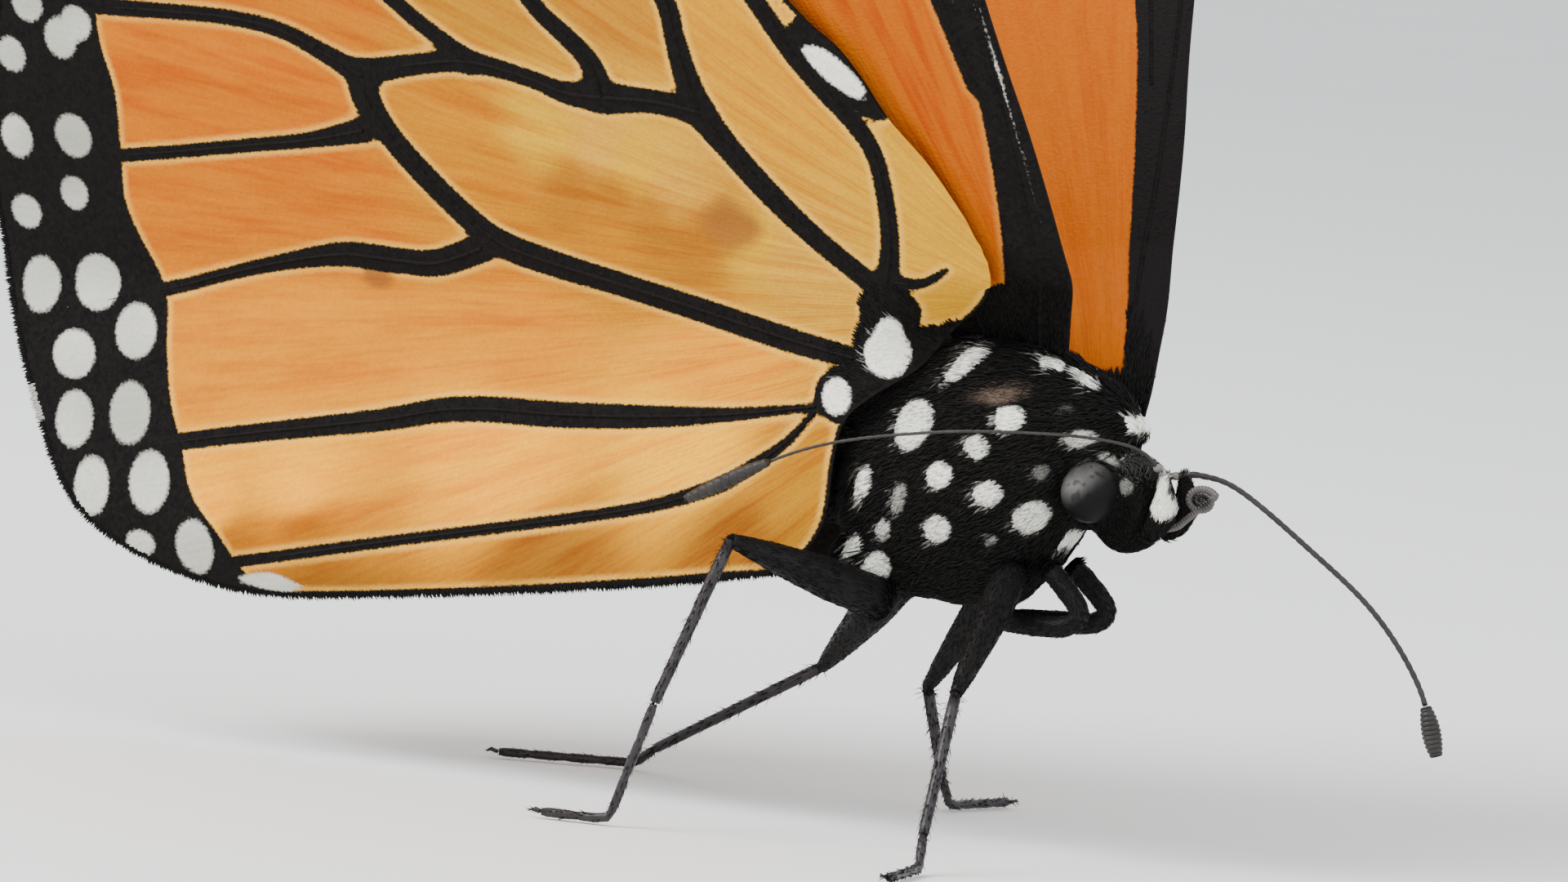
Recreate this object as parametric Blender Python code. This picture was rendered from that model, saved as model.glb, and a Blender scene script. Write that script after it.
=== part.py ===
"""Monarch butterfly (Danaus plexippus), male, standing with its wings held up in a V.

Head towards +X, up is +Z, the right side towards -Y. All sizes below are millimetres.
"""
import math

import bmesh
import bpy
from mathutils import Vector
from mathutils.bvhtree import BVHTree

MM = 0.001

# ---- wings -------------------------------------------------------------------
WING_THICKNESS = 0.5
WING_ROOT_Y = 3.3          # half distance between the wing roots
WING_ROOT_Z = 3.0          # height of the root line above the body frame's zero
WING_OPENING = 24.0        # lean of each wing from upright, degrees
FOLD_HEIGHT = 2.5          # over this height below the root the hindwing turns upright
TUCK_START = 9.0           # below this the hindwing's margin tucks in under the abdomen
TUCK_LENGTH = 4.0
TUCK_ANGLE = 30.0
TIP_START = 25.0           # above this the forewing curls outwards
TIP_LENGTH = 22.0
TIP_ANGLE = 10.0
CAMBER = 0.9               # outward lift of the hindwing's outer margin
CAMBER_FROM = -14.0
CAMBER_LENGTH = 24.0
FOREWING_INSET = 0.8       # the forewing lies this far inside the hindwing
FOREWING_POSE = {          # lean of the leading edge towards the tail, and its root on the sheet
    "right": (11.2, (4.0, -0.7)),
    "left": (8.2, (4.8, -0.6)),
}

# ---- body --------------------------------------------------------------------
THORAX_SECTIONS = (        # x, centre z, half width, half height
    (-4.60, -2.9, 1.25, 1.35),
    (-4.25, -2.9, 1.85, 2.10),
    (-3.50, -2.7, 2.55, 3.55),
    (-2.00, -2.3, 3.05, 4.75),
    (0.30, -2.05, 3.30, 5.10),
    (2.30, -1.95, 3.05, 4.80),
    (3.60, -1.45, 2.60, 3.85),
    (4.60, -0.90, 2.05, 2.85),
    (5.50, -0.45, 1.45, 1.85),
    (6.05, -0.25, 0.85, 1.05),
)
THORAX_FULLNESS = 2.5      # exponent of the section's outline, 2 is an ellipse
ABDOMEN_FRONT = -4.95
ABDOMEN_LENGTH = 19.6
ABDOMEN_RADIUS = 2.1
ABDOMEN_Z = -2.9
ABDOMEN_DROOP = 0.7        # how far the tip hangs below the front
ABDOMEN_SEGMENTS = 8
HEAD_CENTRE = (5.95, 0.0, -2.75)
HEAD_RADII = (1.7, 1.7, 1.85)
EYE_CENTRE = (5.35, 1.5, -2.38)
EYE_RADII = (1.33, 1.08, 1.3)
CUT_GAP = 0.12             # clearance between fitted solids

# ---- feelers and mouthparts ----------------------------------------------------
ANTENNA_RADIUS = 0.26
ANTENNA_KNOTS = {
    "right": ((7.2, -0.7, -1.3), (6.75, -1.35, -0.4), (6.0, -2.6, 0.05), (4.2, -4.3, -0.05),
              (0.4, -4.95, -0.6), (-4.2, -5.05, -1.75), (-8.6, -5.2, -4.0)),
    "left": ((7.3, 0.75, -1.45), (8.2, 0.95, -1.48), (9.6, 1.3, -1.9), (11.9, 1.8, -3.55),
             (14.4, 2.45, -5.6), (16.1, 2.95, -7.95), (16.9, 3.3, -10.4)),
}
PALP_KNOTS = ((7.55, 0.8, -4.1), (8.0, 0.85, -3.55), (8.05, 0.85, -2.8), (7.8, 0.85, -2.25))
PALP_RADII = (0.42, 0.28)  # at the root and the tip
TONGUE_CENTRE = (8.95, 0.0, -2.45)
TONGUE_TURNS = 1.1
TONGUE_COIL = (0.42, 1.05)  # inner and outer radius of the coil's middle line
TONGUE_RADIUS = 0.25
TONGUE_ROOT = ((8.35, 0.0, -3.62), (7.85, 0.0, -3.66))
FORELEG_PATH = (           # x, y outwards, z, radius
    (4.35, 1.1, -5.6, 0.34), (5.5, 1.2, -6.9, 0.36), (4.9, 1.25, -7.6, 0.36),
    (3.2, 1.3, -7.75, 0.34), (1.3, 1.3, -7.7, 0.26),
)

# ---- legs --------------------------------------------------------------------
FLOOR_Z = -15.3
TARSUS_RADIUS = 0.27
LEG_SIDES = 8
LEGS = {
    # root, knee, end of tibia, heel, toe (heel and toe: x, y)
    "hind_right": ((-2.6, -1.7, -6.9), (-6.15, -6.4, -5.1), (-7.75, -8.0, -10.9),
                   (-8.9, -8.5), (-11.3, -9.0)),
    "middle_right": ((2.5, -1.8, -5.6), (2.9, -6.5, -9.4), (3.35, -9.2, -14.0),
                     (3.6, -9.9), (4.1, -13.4)),
    "middle_left": ((0.6, 1.8, -6.0), (-3.4, 5.3, -10.5), (-3.9, 8.4, -14.0),
                    (-3.8, 9.1), (-3.0, 12.5)),
    "hind_left": ((-3.2, 1.7, -6.4), (-8.1, 6.4, -10.4), (-15.4, 8.3, -14.4),
                  (-16.4, 8.7), (-20.9, 6.4)),
}
FEMUR_RADII = {"hind": (0.72, 0.36), "middle": (0.6, 0.34)}
TIBIA_RADII = (0.34, 0.27)
KNEE_CLEARANCE = 0.6


def clear_scene():
    for ob in list(bpy.data.objects):
        bpy.data.objects.remove(ob, do_unlink=True)
    for block in (bpy.data.meshes, bpy.data.materials):
        for item in list(block):
            block.remove(item)


def material(name, colour, roughness):
    mat = bpy.data.materials.new(name)
    mat.use_nodes = True
    node = mat.node_tree.nodes["Principled BSDF"]
    node.inputs["Base Color"].default_value = (*colour, 1.0)
    node.inputs["Roughness"].default_value = roughness
    return mat


def add_object(name, bm, mat):
    bmesh.ops.triangulate(bm, faces=bm.faces)
    bmesh.ops.recalc_face_normals(bm, faces=bm.faces)
    for v in bm.verts:
        v.co *= MM
    mesh = bpy.data.meshes.new(name)
    bm.to_mesh(mesh)
    bm.free()
    mesh.shade_smooth()
    mesh.set_sharp_from_angle(angle=math.radians(40))
    ob = bpy.data.objects.new(name, mesh)
    bpy.context.scene.collection.objects.link(ob)
    mesh.materials.append(mat)
    return ob


# ---- the curved sheet that all four wings lie on -------------------------------
def smooth(t):
    t = min(max(t, 0.0), 1.0)
    return t * t * (3 - 2 * t)


def lean(v):
    a = WING_OPENING * (1 - smooth(-v / FOLD_HEIGHT))
    a += TUCK_ANGLE * smooth((-v - TUCK_START) / TUCK_LENGTH)
    return math.radians(a + TIP_ANGLE * smooth((v - TIP_START) / TIP_LENGTH))


def sheet_profile():
    """Running sums of the lean, out from the root both ways."""
    step = 0.02
    up, down = [(WING_ROOT_Y, WING_ROOT_Z)], [(WING_ROOT_Y, WING_ROOT_Z)]
    for k in range(int(55 / step)):
        a = lean((k + 0.5) * step)
        up.append((up[-1][0] + math.sin(a) * step, up[-1][1] + math.cos(a) * step))
    for k in range(int(16 / step)):
        a = lean(-(k + 0.5) * step)
        down.append((down[-1][0] - math.sin(a) * step, down[-1][1] - math.cos(a) * step))
    return step, up, down


PROFILE = sheet_profile()


def sheet(x, v, off, side):
    """A point of the wings' sheet: x along the body, v up the wing, off outwards."""
    step, up, down = PROFILE
    run = up if v >= 0 else down
    k = abs(v) / step
    i = min(int(k), len(run) - 2)
    t = k - i
    y = run[i][0] * (1 - t) + run[i + 1][0] * t
    z = run[i][1] * (1 - t) + run[i + 1][1] * t
    a = lean(v)
    s = max(0.0, (CAMBER_FROM - x) / CAMBER_LENGTH)
    y += off * math.cos(a) + CAMBER * s * s
    return Vector((x, side * y, z - off * math.sin(a)))


def smooth_outline(points, steps, corners=()):
    """A closed Catmull-Rom outline through the points, sharp at the listed ones."""
    n = len(points)
    out = []
    for i in range(n):
        p0, p1 = points[i - 1], points[i]
        p2, p3 = points[(i + 1) % n], points[(i + 2) % n]
        if i in corners:
            p0 = p1
        if (i + 1) % n in corners:
            p3 = p2
        for k in range(steps):
            t = k / steps
            out.append(tuple(
                0.5 * (2 * b + (c - a) * t + (2 * a - 5 * b + 4 * c - d) * t * t
                       + (3 * b - a - 3 * c + d) * t ** 3)
                for a, b, c, d in zip(p0, p1, p2, p3)))
    return out


HINDWING_OUTLINE = (
    (-1.2, -1.9), (0.3, -1.4), (1.3, -0.2), (1.85, 2.0), (1.0, 4.3), (-0.15, 6.1),
    (-1.55, 7.7), (-2.35, 9.0), (-3.25, 10.2), (-4.6, 11.4), (-6.9, 14.2), (-10.2, 18.6), (-14.2, 21.9), (-18.8, 23.5),
    (-23.4, 23.2), (-27.9, 21.2), (-31.8, 17.8), (-34.9, 13.2), (-36.8, 8.0), (-37.7, 3.2),
    (-37.7, -1.1), (-37.0, -4.1), (-35.9, -7.1), (-34.5, -9.8), (-32.5, -11.5), (-29.4, -12.7),
    (-26.1, -13.0), (-20.5, -12.25), (-14.0, -11.2), (-8.0, -10.1), (-5.5, -9.2), (-4.3, -7.6),
    (-4.1, -5.3), (-4.1, -3.6), (-3.1, -2.2),
)
FOREWING_OUTLINE = (       # along the leading edge, back from it
    (0.0, 0.0), (5.0, -0.15), (12.0, -0.35), (20.0, -0.4), (28.0, 0.0), (35.0, 1.0), (41.0, 2.7),
    (45.5, 4.9), (48.7, 7.6), (50.0, 10.3), (49.3, 12.8), (46.6, 15.3), (42.8, 17.6),
    (38.8, 19.8), (34.8, 22.0), (31.4, 24.1), (28.6, 25.7), (25.6, 25.8), (22.0, 23.6),
    (16.0, 18.6), (10.0, 13.2), (5.0, 8.4), (1.6, 5.2), (0.4, 3.9),
)


def forewing_to_sheet(p, label):
    degrees, root = FOREWING_POSE[label]
    a = math.radians(degrees)
    u, w = p
    return (root[0] - u * math.sin(a) - w * math.cos(a),
            root[1] + u * math.cos(a) - w * math.sin(a))


def wing(name, outline, off, side, mat):
    bm = bmesh.new()
    verts = [bm.verts.new((x, 0.0, v)) for x, v in outline]
    bm.faces.new(verts)
    low = min(v for _, v in outline)
    high = max(v for _, v in outline)
    cuts = [-12.0, -10.5, -9.0, -5.0, -2.5, -1.8, -1.0, 0.0, 8.0, 16.0, 25.0, 29.0, 33.0, 37.0, 42.0]
    for h in cuts:
        if low < h < high:
            bmesh.ops.bisect_plane(bm, geom=bm.verts[:] + bm.edges[:] + bm.faces[:],
                                   dist=1e-5, plane_co=(0, 0, h), plane_no=(0, 0, 1))
    for h in (-30.0, -25.0, -20.0, -14.0):
        bmesh.ops.bisect_plane(bm, geom=bm.verts[:] + bm.edges[:] + bm.faces[:],
                               dist=1e-5, plane_co=(h, 0, 0), plane_no=(1, 0, 0))
    bmesh.ops.triangulate(bm, faces=bm.faces[:])
    grown = bmesh.ops.extrude_face_region(bm, geom=bm.faces[:])
    inner = {g for g in grown["geom"] if isinstance(g, bmesh.types.BMVert)}
    for vert in bm.verts:
        half = -WING_THICKNESS / 2 if vert in inner else WING_THICKNESS / 2
        vert.co = sheet(vert.co.x, vert.co.z, off + half, side)
    return add_object(name, bm, mat)


# ---- round solids --------------------------------------------------------------
def ring(bm, centre, across, upward, ry, rz, sides, fullness=2.0):
    out = []
    for k in range(sides):
        a = 2 * math.pi * (k + 0.5) / sides
        c, s = math.cos(a), math.sin(a)
        c = math.copysign(abs(c) ** (2 / fullness), c)
        s = math.copysign(abs(s) ** (2 / fullness), s)
        out.append(bm.verts.new(centre + across * (ry * c) + upward * (rz * s)))
    return out


def skin(bm, rings):
    for a, b in zip(rings, rings[1:]):
        n = len(a)
        for k in range(n):
            bm.faces.new((a[k], a[(k + 1) % n], b[(k + 1) % n], b[k]))
    bm.faces.new(rings[0])
    bm.faces.new(reversed(rings[-1]))


def tube(path, radii, sides):
    """A tapered tube whose rings are mitred at every bend; its lowest face stays level."""
    bm = bmesh.new()
    pts = [Vector(p) for p in path]
    rings = []
    last_side = None
    for i, p in enumerate(pts):
        a = (p - pts[i - 1]).normalized() if i else (pts[1] - p).normalized()
        b = (pts[i + 1] - p).normalized() if i < len(pts) - 1 else a
        side = Vector((0, 0, 1)).cross(b).normalized()
        if last_side is not None and side.dot(last_side) < 0:
            side.negate()
        last_side = side
        upward = b.cross(side).normalized()
        plane = (a + b).normalized()
        row = []
        for k in range(sides):
            t = 2 * math.pi * (k + 0.5) / sides
            q = side * (radii[i] * math.cos(t)) + upward * (radii[i] * math.sin(t))
            q = q - b * (q.dot(plane) / b.dot(plane))
            row.append(bm.verts.new(p + q))
        rings.append(row)
    skin(bm, rings)
    return bm


def curve_points(knots, steps):
    pts = [Vector(k) for k in knots]
    out = []
    for i in range(len(pts) - 1):
        p0 = pts[i - 1] if i else pts[i] * 2 - pts[i + 1]
        p3 = pts[i + 2] if i + 2 < len(pts) else pts[i + 1] * 2 - pts[i]
        p1, p2 = pts[i], pts[i + 1]
        for k in range(steps):
            t = k / steps
            out.append(0.5 * (2 * p1 + (p2 - p0) * t + (2 * p0 - 5 * p1 + 4 * p2 - p3) * t * t
                              + (3 * p1 - p0 - 3 * p2 + p3) * t ** 3))
    out.append(pts[-1])
    return out


def ellipsoid(centre, radii, rows=12, sides=20):
    bm = bmesh.new()
    bmesh.ops.create_uvsphere(bm, u_segments=sides, v_segments=rows, radius=1.0)
    for v in bm.verts:
        v.co = Vector(c + r * p for c, r, p in zip(centre, radii, v.co))
    return bm


def cut(ob, cutter_bm, name):
    """Subtract a fitted cutter from a solid."""
    cutter = add_object(name, cutter_bm, ob.data.materials[0])
    cutter.hide_render = True
    cutter.display_type = "WIRE"
    mod = ob.modifiers.new(name, "BOOLEAN")
    mod.operation = "DIFFERENCE"
    mod.solver = "EXACT"
    mod.object = cutter
    return cutter


def bake_cuts(ob, cutters):
    """Keep the cut shape in the mesh itself, then drop the cutters."""
    deps = bpy.context.evaluated_depsgraph_get()
    mesh = bpy.data.meshes.new_from_object(ob.evaluated_get(deps))
    ob.modifiers.clear()
    ob.data = mesh
    for c in cutters:
        bpy.data.objects.remove(c, do_unlink=True)


# ---- the animal ----------------------------------------------------------------
def build_thorax(mat):
    bm = bmesh.new()
    rings = [ring(bm, Vector((x, 0, z)), Vector((0, 1, 0)), Vector((0, 0, 1)), ry, rz, 24,
                  THORAX_FULLNESS) for x, z, ry, rz in THORAX_SECTIONS]
    skin(bm, rings)
    return add_object("thorax", bm, mat)


def build_abdomen(mat):
    bm = bmesh.new()
    rings = []
    n = ABDOMEN_SEGMENTS * 3
    for i in range(n + 1):
        t = i / n
        x = ABDOMEN_FRONT - ABDOMEN_LENGTH * t
        swell = math.sin(math.pi * min(1.0, 0.16 + 0.84 * t ** 0.8)) ** 0.42 if t < 1 else 0.3
        r = ABDOMEN_RADIUS * max(0.42, swell)
        groove = 0.965 if i % 3 == 0 and 0 < i < n else 1.0
        z = ABDOMEN_Z - ABDOMEN_DROOP * t * t
        rings.append(ring(bm, Vector((x, 0, z)), Vector((0, 1, 0)), Vector((0, 0, 1)),
                          r * groove * 0.97, r * groove, 20))
    skin(bm, rings)
    return add_object("abdomen", bm, mat)


def build_head(mat, eye_mat):
    head = add_object("head", ellipsoid(HEAD_CENTRE, HEAD_RADII), mat)
    cutters = []
    for side, label in ((-1, "right"), (1, "left")):
        centre = (EYE_CENTRE[0], side * EYE_CENTRE[1], EYE_CENTRE[2])
        grown = tuple(r + CUT_GAP for r in EYE_RADII)
        cutters.append(cut(head, ellipsoid(centre, grown), f"eye_cutter_{label}"))
        add_object(f"eye_{label}", ellipsoid(centre, EYE_RADII), eye_mat)
    bake_cuts(head, cutters)
    return head


def seat_in(ob, centre, radii, gap, name):
    """Hollow a socket out of a solid so that a round neighbour sits in it."""
    bake_cuts(ob, [cut(ob, ellipsoid(centre, tuple(r + gap for r in radii)), name)])


def start_outside(tree, root, towards, radius):
    """Slide a limb's start outwards until it clears the body."""
    root, towards = Vector(root), Vector(towards)
    direction = (towards - root).normalized()
    d = 0.0
    while d < 6.0:
        p = root + direction * d
        near, normal, _, distance = tree.find_nearest(p)
        outside = (p - near).dot(normal) > 0
        if outside and distance > radius + CUT_GAP:
            return p
        d += 0.05
    return root


def build_leg(label, tree, mat):
    root, knee, end, heel, toe = LEGS[label]
    root, knee, end = Vector(root), Vector(knee), Vector(end)
    r0, r1 = FEMUR_RADII[label.split("_")[0]]
    start = start_outside(tree, root, knee, r0)
    thick = start.lerp(knee, 0.35)
    add_object(f"leg_{label}_femur",
               tube((start, thick, knee), (r0 * 0.8, r0, r1), LEG_SIDES), mat)
    along = (end - knee).normalized()
    shin = knee + along * KNEE_CLEARANCE
    add_object(f"leg_{label}_tibia", tube((shin, end), TIBIA_RADII, LEG_SIDES), mat)
    level = FLOOR_Z + TARSUS_RADIUS * math.cos(math.pi / LEG_SIDES)
    heel, toe = Vector((*heel, level)), Vector((*toe, level))
    first = end + (heel - end).normalized() * (2 * CUT_GAP + TIBIA_RADII[1] * 0.6)
    radii = (TARSUS_RADIUS,) * 3
    add_object(f"leg_{label}_tarsus", tube((first, heel, toe), radii, LEG_SIDES), mat)


def build_foreleg(label, side, mat):
    path = [(x, side * y, z) for x, y, z, _ in FORELEG_PATH]
    radii = [r for _, _, _, r in FORELEG_PATH]
    add_object(f"foreleg_{label}", tube(path, radii, LEG_SIDES), mat)


def build_antenna(label, mat):
    """The shaft, and the last stretch of it as the club."""
    pts = curve_points(ANTENNA_KNOTS[label], 5)
    club_steps = 4
    shaft, club = pts[:-club_steps], pts[-club_steps:]
    add_object(f"antenna_{label}", tube(shaft, [ANTENNA_RADIUS] * len(shaft), 8), mat)
    away = (club[0] - shaft[-1]).normalized()
    club[0] = shaft[-1] + away * max(0.15, (club[1] - shaft[-1]).length * 0.2)
    n = len(club) - 1
    radii = [ANTENNA_RADIUS + 0.2 * math.sin(math.pi * (0.15 + 0.7 * i / n)) for i in range(n + 1)]
    add_object(f"antenna_club_{label}", tube(club, radii, 8), mat)


def build_mouthparts(mat, tongue_mat):
    for side, label in ((-1, "right"), (1, "left")):
        path = curve_points([(x, side * y, z) for x, y, z in PALP_KNOTS], 2)
        n = len(path) - 1
        root, tip = PALP_RADII
        radii = [root + (tip - root) * i / n for i in range(n + 1)]
        add_object(f"palp_{label}", tube(path, radii, 8), mat)
    inner, outer = TONGUE_COIL
    path = []
    steps = 22
    for k in range(steps + 1):
        a = math.radians(306) - 2 * math.pi * TONGUE_TURNS * k / steps
        r = inner + (outer - inner) * k / steps
        path.append(Vector(TONGUE_CENTRE) + Vector((r * math.cos(a), 0, r * math.sin(a))))
    path += [Vector(p) for p in TONGUE_ROOT]
    add_object("proboscis", tube_in_plane(path, TONGUE_RADIUS), tongue_mat)


def tube_in_plane(path, radius, sides=8):
    """A round tube along a path that lies in the upright middle plane."""
    bm = bmesh.new()
    rings = []
    for i, p in enumerate(path):
        a = path[min(i + 1, len(path) - 1)] - path[max(i - 1, 0)]
        a.normalize()
        across = Vector((0, 1, 0))
        rings.append(ring(bm, p, across, a.cross(across), radius, radius, sides))
    skin(bm, rings)
    return bm


def shift_to_floor():
    """Put the middle of the footprint at zero and the feet on the floor."""
    low, high = Vector((1e9,) * 3), Vector((-1e9,) * 3)
    for ob in bpy.data.objects:
        for v in ob.data.vertices:
            low = Vector(map(min, low, v.co))
            high = Vector(map(max, high, v.co))
    move = Vector(((low.x + high.x) / 2, (low.y + high.y) / 2, low.z))
    for ob in bpy.data.objects:
        for v in ob.data.vertices:
            v.co -= move
        ob.data.update()
    print("shifted by", [round(c * 1000, 4) for c in move],
          "size", [round(c * 1000, 2) for c in high - low])


clear_scene()
cuticle = material("cuticle_black", (0.012, 0.011, 0.012), 0.55)
limb = material("limb_black", (0.02, 0.018, 0.02), 0.45)
eye_black = material("eye_black", (0.015, 0.014, 0.016), 0.2)
tongue_brown = material("tongue_brown", (0.05, 0.035, 0.03), 0.4)
hind_tan = material("hindwing_tan", (0.75, 0.38, 0.09), 0.6)
fore_orange = material("forewing_orange", (0.85, 0.2, 0.01), 0.6)

thorax = build_thorax(cuticle)
seat_in(thorax, HEAD_CENTRE, HEAD_RADII, CUT_GAP, "head_socket")
for eye_side in (-1, 1):
    seat_in(thorax, (EYE_CENTRE[0], eye_side * EYE_CENTRE[1], EYE_CENTRE[2]), EYE_RADII, CUT_GAP,
            "eye_socket")
build_abdomen(cuticle)
build_head(cuticle, eye_black)
build_mouthparts(cuticle, tongue_brown)
build_antenna("right", limb)
build_antenna("left", limb)

body = bmesh.new()
body.from_mesh(thorax.data)
for vert in body.verts:
    vert.co /= MM
tree = BVHTree.FromBMesh(body)
for leg in LEGS:
    build_leg(leg, tree, limb)
body.free()
build_foreleg("right", -1, limb)
build_foreleg("left", 1, limb)

hind = smooth_outline(HINDWING_OUTLINE, 2)
fore = smooth_outline(FOREWING_OUTLINE, 3, corners=(0, len(FOREWING_OUTLINE) - 1))
for wing_side, wing_label in ((-1, "right"), (1, "left")):
    wing(f"hindwing_{wing_label}", hind, 0.0, wing_side, hind_tan)
    swept = [forewing_to_sheet(p, wing_label) for p in fore]
    wing(f"forewing_{wing_label}", swept, -FOREWING_INSET, wing_side, fore_orange)
shift_to_floor()
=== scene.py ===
import math

import bmesh
import bpy
import numpy as np
from mathutils import Matrix, Vector
from mathutils.bvhtree import BVHTree


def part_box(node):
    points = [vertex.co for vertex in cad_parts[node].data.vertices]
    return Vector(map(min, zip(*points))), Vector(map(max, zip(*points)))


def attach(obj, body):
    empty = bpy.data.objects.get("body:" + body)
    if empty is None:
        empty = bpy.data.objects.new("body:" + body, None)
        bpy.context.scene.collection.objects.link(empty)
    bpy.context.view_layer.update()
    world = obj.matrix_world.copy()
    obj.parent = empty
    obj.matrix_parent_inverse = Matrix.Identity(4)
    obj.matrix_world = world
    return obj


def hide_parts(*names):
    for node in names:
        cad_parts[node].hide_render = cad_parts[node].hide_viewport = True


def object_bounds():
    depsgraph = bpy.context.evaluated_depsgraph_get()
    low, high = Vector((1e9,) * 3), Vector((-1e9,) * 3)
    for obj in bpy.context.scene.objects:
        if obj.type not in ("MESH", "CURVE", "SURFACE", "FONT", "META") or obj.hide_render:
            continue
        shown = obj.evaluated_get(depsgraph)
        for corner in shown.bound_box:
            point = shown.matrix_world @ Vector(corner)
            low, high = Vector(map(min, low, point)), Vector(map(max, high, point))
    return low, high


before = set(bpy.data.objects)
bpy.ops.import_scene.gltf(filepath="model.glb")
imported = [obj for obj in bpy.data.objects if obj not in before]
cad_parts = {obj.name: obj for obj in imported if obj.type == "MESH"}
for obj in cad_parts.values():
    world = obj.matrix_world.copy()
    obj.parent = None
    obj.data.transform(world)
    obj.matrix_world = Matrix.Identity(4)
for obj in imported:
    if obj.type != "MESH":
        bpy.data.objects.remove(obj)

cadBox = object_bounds()
mm = 0.001
fullTurn = 6.2832
clear = 9.0                   # a distance that is nowhere near a mark
sideOf = {"right": -1, "left": 1}
draws = np.random.default_rng(11)

# everything below is worked out in millimetres of the body's own zero, which the frame places:
# x runs to the head, y to the left side, z up
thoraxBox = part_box("thorax")
zeroAhead, zeroAbove = 4.6, 7.15        # of the thorax's rear and underside
bodyZero = Vector((thoraxBox[0].x / mm + zeroAhead, (thoraxBox[0].y + thoraxBox[1].y) / 2 / mm,
                   thoraxBox[0].z / mm + zeroAbove))
floorLevel = -bodyZero.z
print("body zero", [round(c, 3) for c in bodyZero])


# small helpers
def smoothStep(t):
    t = np.clip(t, 0.0, 1.0)
    return t * t * (3 - 2 * t)


def unit(rows):
    return rows / np.maximum(np.linalg.norm(rows, axis=1, keepdims=True), 1e-9)


# Catmull-Rom through the points
def smoothPath(points, steps, closed=False, corners=()):
    n = len(points)
    pts = np.array(points, float)
    out = []
    for i in range(n if closed else n - 1):
        p1, p2 = pts[i], pts[(i + 1) % n]
        p0 = pts[i - 1] if closed or i else 2 * p1 - p2
        p3 = pts[(i + 2) % n] if closed or i + 2 < n else 2 * p2 - p1
        if i in corners:
            p0 = p1
        if (i + 1) % n in corners:
            p3 = p2
        for k in range(steps):
            t = k / steps
            out.append(0.5 * (2 * p1 + (p2 - p0) * t + (2 * p0 - 5 * p1 + 4 * p2 - p3) * t * t
                              + (3 * p1 - p0 - 3 * p2 + p3) * t ** 3))
    if not closed:
        out.append(pts[-1])
    return np.array(out)


# distance to a path, less the half width the path has there
def lineGap(points, path):
    best = np.full(len(points), clear)
    low, high = path[:, :2].min(0) - 4, path[:, :2].max(0) + 4
    near = np.flatnonzero(((points > low) & (points < high)).all(1))
    at = points[near]
    found = np.full(len(near), clear)
    for p, q in zip(path[:-1], path[1:]):
        d = q[:2] - p[:2]
        t = np.clip((at - p[:2]) @ d / max(d @ d, 1e-12), 0, 1)
        gap = np.hypot(*(at - p[:2] - t[:, None] * d).T)
        if len(p) > 2:
            gap = gap - (p[2] + t * (q[2] - p[2]))
        found = np.minimum(found, gap)
    best[near] = found
    return best


def insideOutline(points, outline):
    px, py = points.T
    inside = np.zeros(len(points), bool)
    for (x0, y0), (x1, y1) in zip(outline, np.roll(outline, -1, 0)):
        if y0 == y1:
            continue
        crosses = (y0 > py) != (y1 > py)
        inside ^= crosses & (px < (x1 - x0) * (py - y0) / (y1 - y0) + x0)
    return inside


# signed distance to a closed outline, positive outside it
def outlineGap(points, outline):
    loop = np.vstack((outline, outline[:1]))
    gap = lineGap(points, loop)
    return np.where(insideOutline(points, outline), -gap, gap)


def newObject(name, data):
    ob = bpy.data.objects.new(name, data)
    bpy.context.scene.collection.objects.link(ob)
    return ob


def finishPiece(name, mesh, mat, replaced=()):
    mesh.materials.append(mat)
    piece = newObject(name, mesh)
    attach(piece, "root")
    if replaced:
        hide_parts(*replaced)


def toFrame(points):
    return (np.asarray(points) + np.array(bodyZero)) * mm


# one property of every item, as a flat array
def readAll(items, key, width=3, kind=np.float32):
    out = np.empty(len(items) * width, kind)
    items.foreach_get(key, out)
    return out


# a mesh from the bmesh, moved from body millimetres into the frame
def meshOf(name, bm, place=toFrame, sharp=None):
    mesh = bpy.data.meshes.new(name)
    bm.to_mesh(mesh)
    bm.free()
    co = readAll(mesh.vertices, "co").reshape(-1, 3)
    mesh.vertices.foreach_set("co", place(co).astype(np.float32).ravel())
    mesh.shade_smooth()
    if sharp:
        mesh.set_sharp_from_angle(angle=math.radians(sharp))
    mesh.update()
    return mesh


# a round-ended tube as a mesh; extra adds to it before it is closed up
def tubeMesh(name, path, radii, sides, squash=1.0, extra=None):
    bm = bmesh.new()
    sweep(bm, *roundEnds(path, radii), sides=sides, squash=squash)
    if extra:
        extra(bm)
    bmesh.ops.recalc_face_normals(bm, faces=bm.faces[:])
    return meshOf(name, bm)


def addField(mesh, name, values):
    mesh.attributes.new(name, "FLOAT", "POINT").data.foreach_set(
        "value", np.asarray(values, np.float32))


def addColour(mesh, name, rgb):
    rgba = np.ones((len(rgb), 4), np.float32)
    rgba[:, :3] = rgb
    mesh.attributes.new(name, "FLOAT_COLOR", "POINT").data.foreach_set("color", rgba.ravel())


# a UV map from one uv for each vertex
def addMap(mesh, name, uv):
    corner = readAll(mesh.loops, "vertex_index", 1, np.int32)
    mesh.uv_layers.new(name=name).data.foreach_set("uv", uv[corner].astype(np.float32).ravel())


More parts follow.
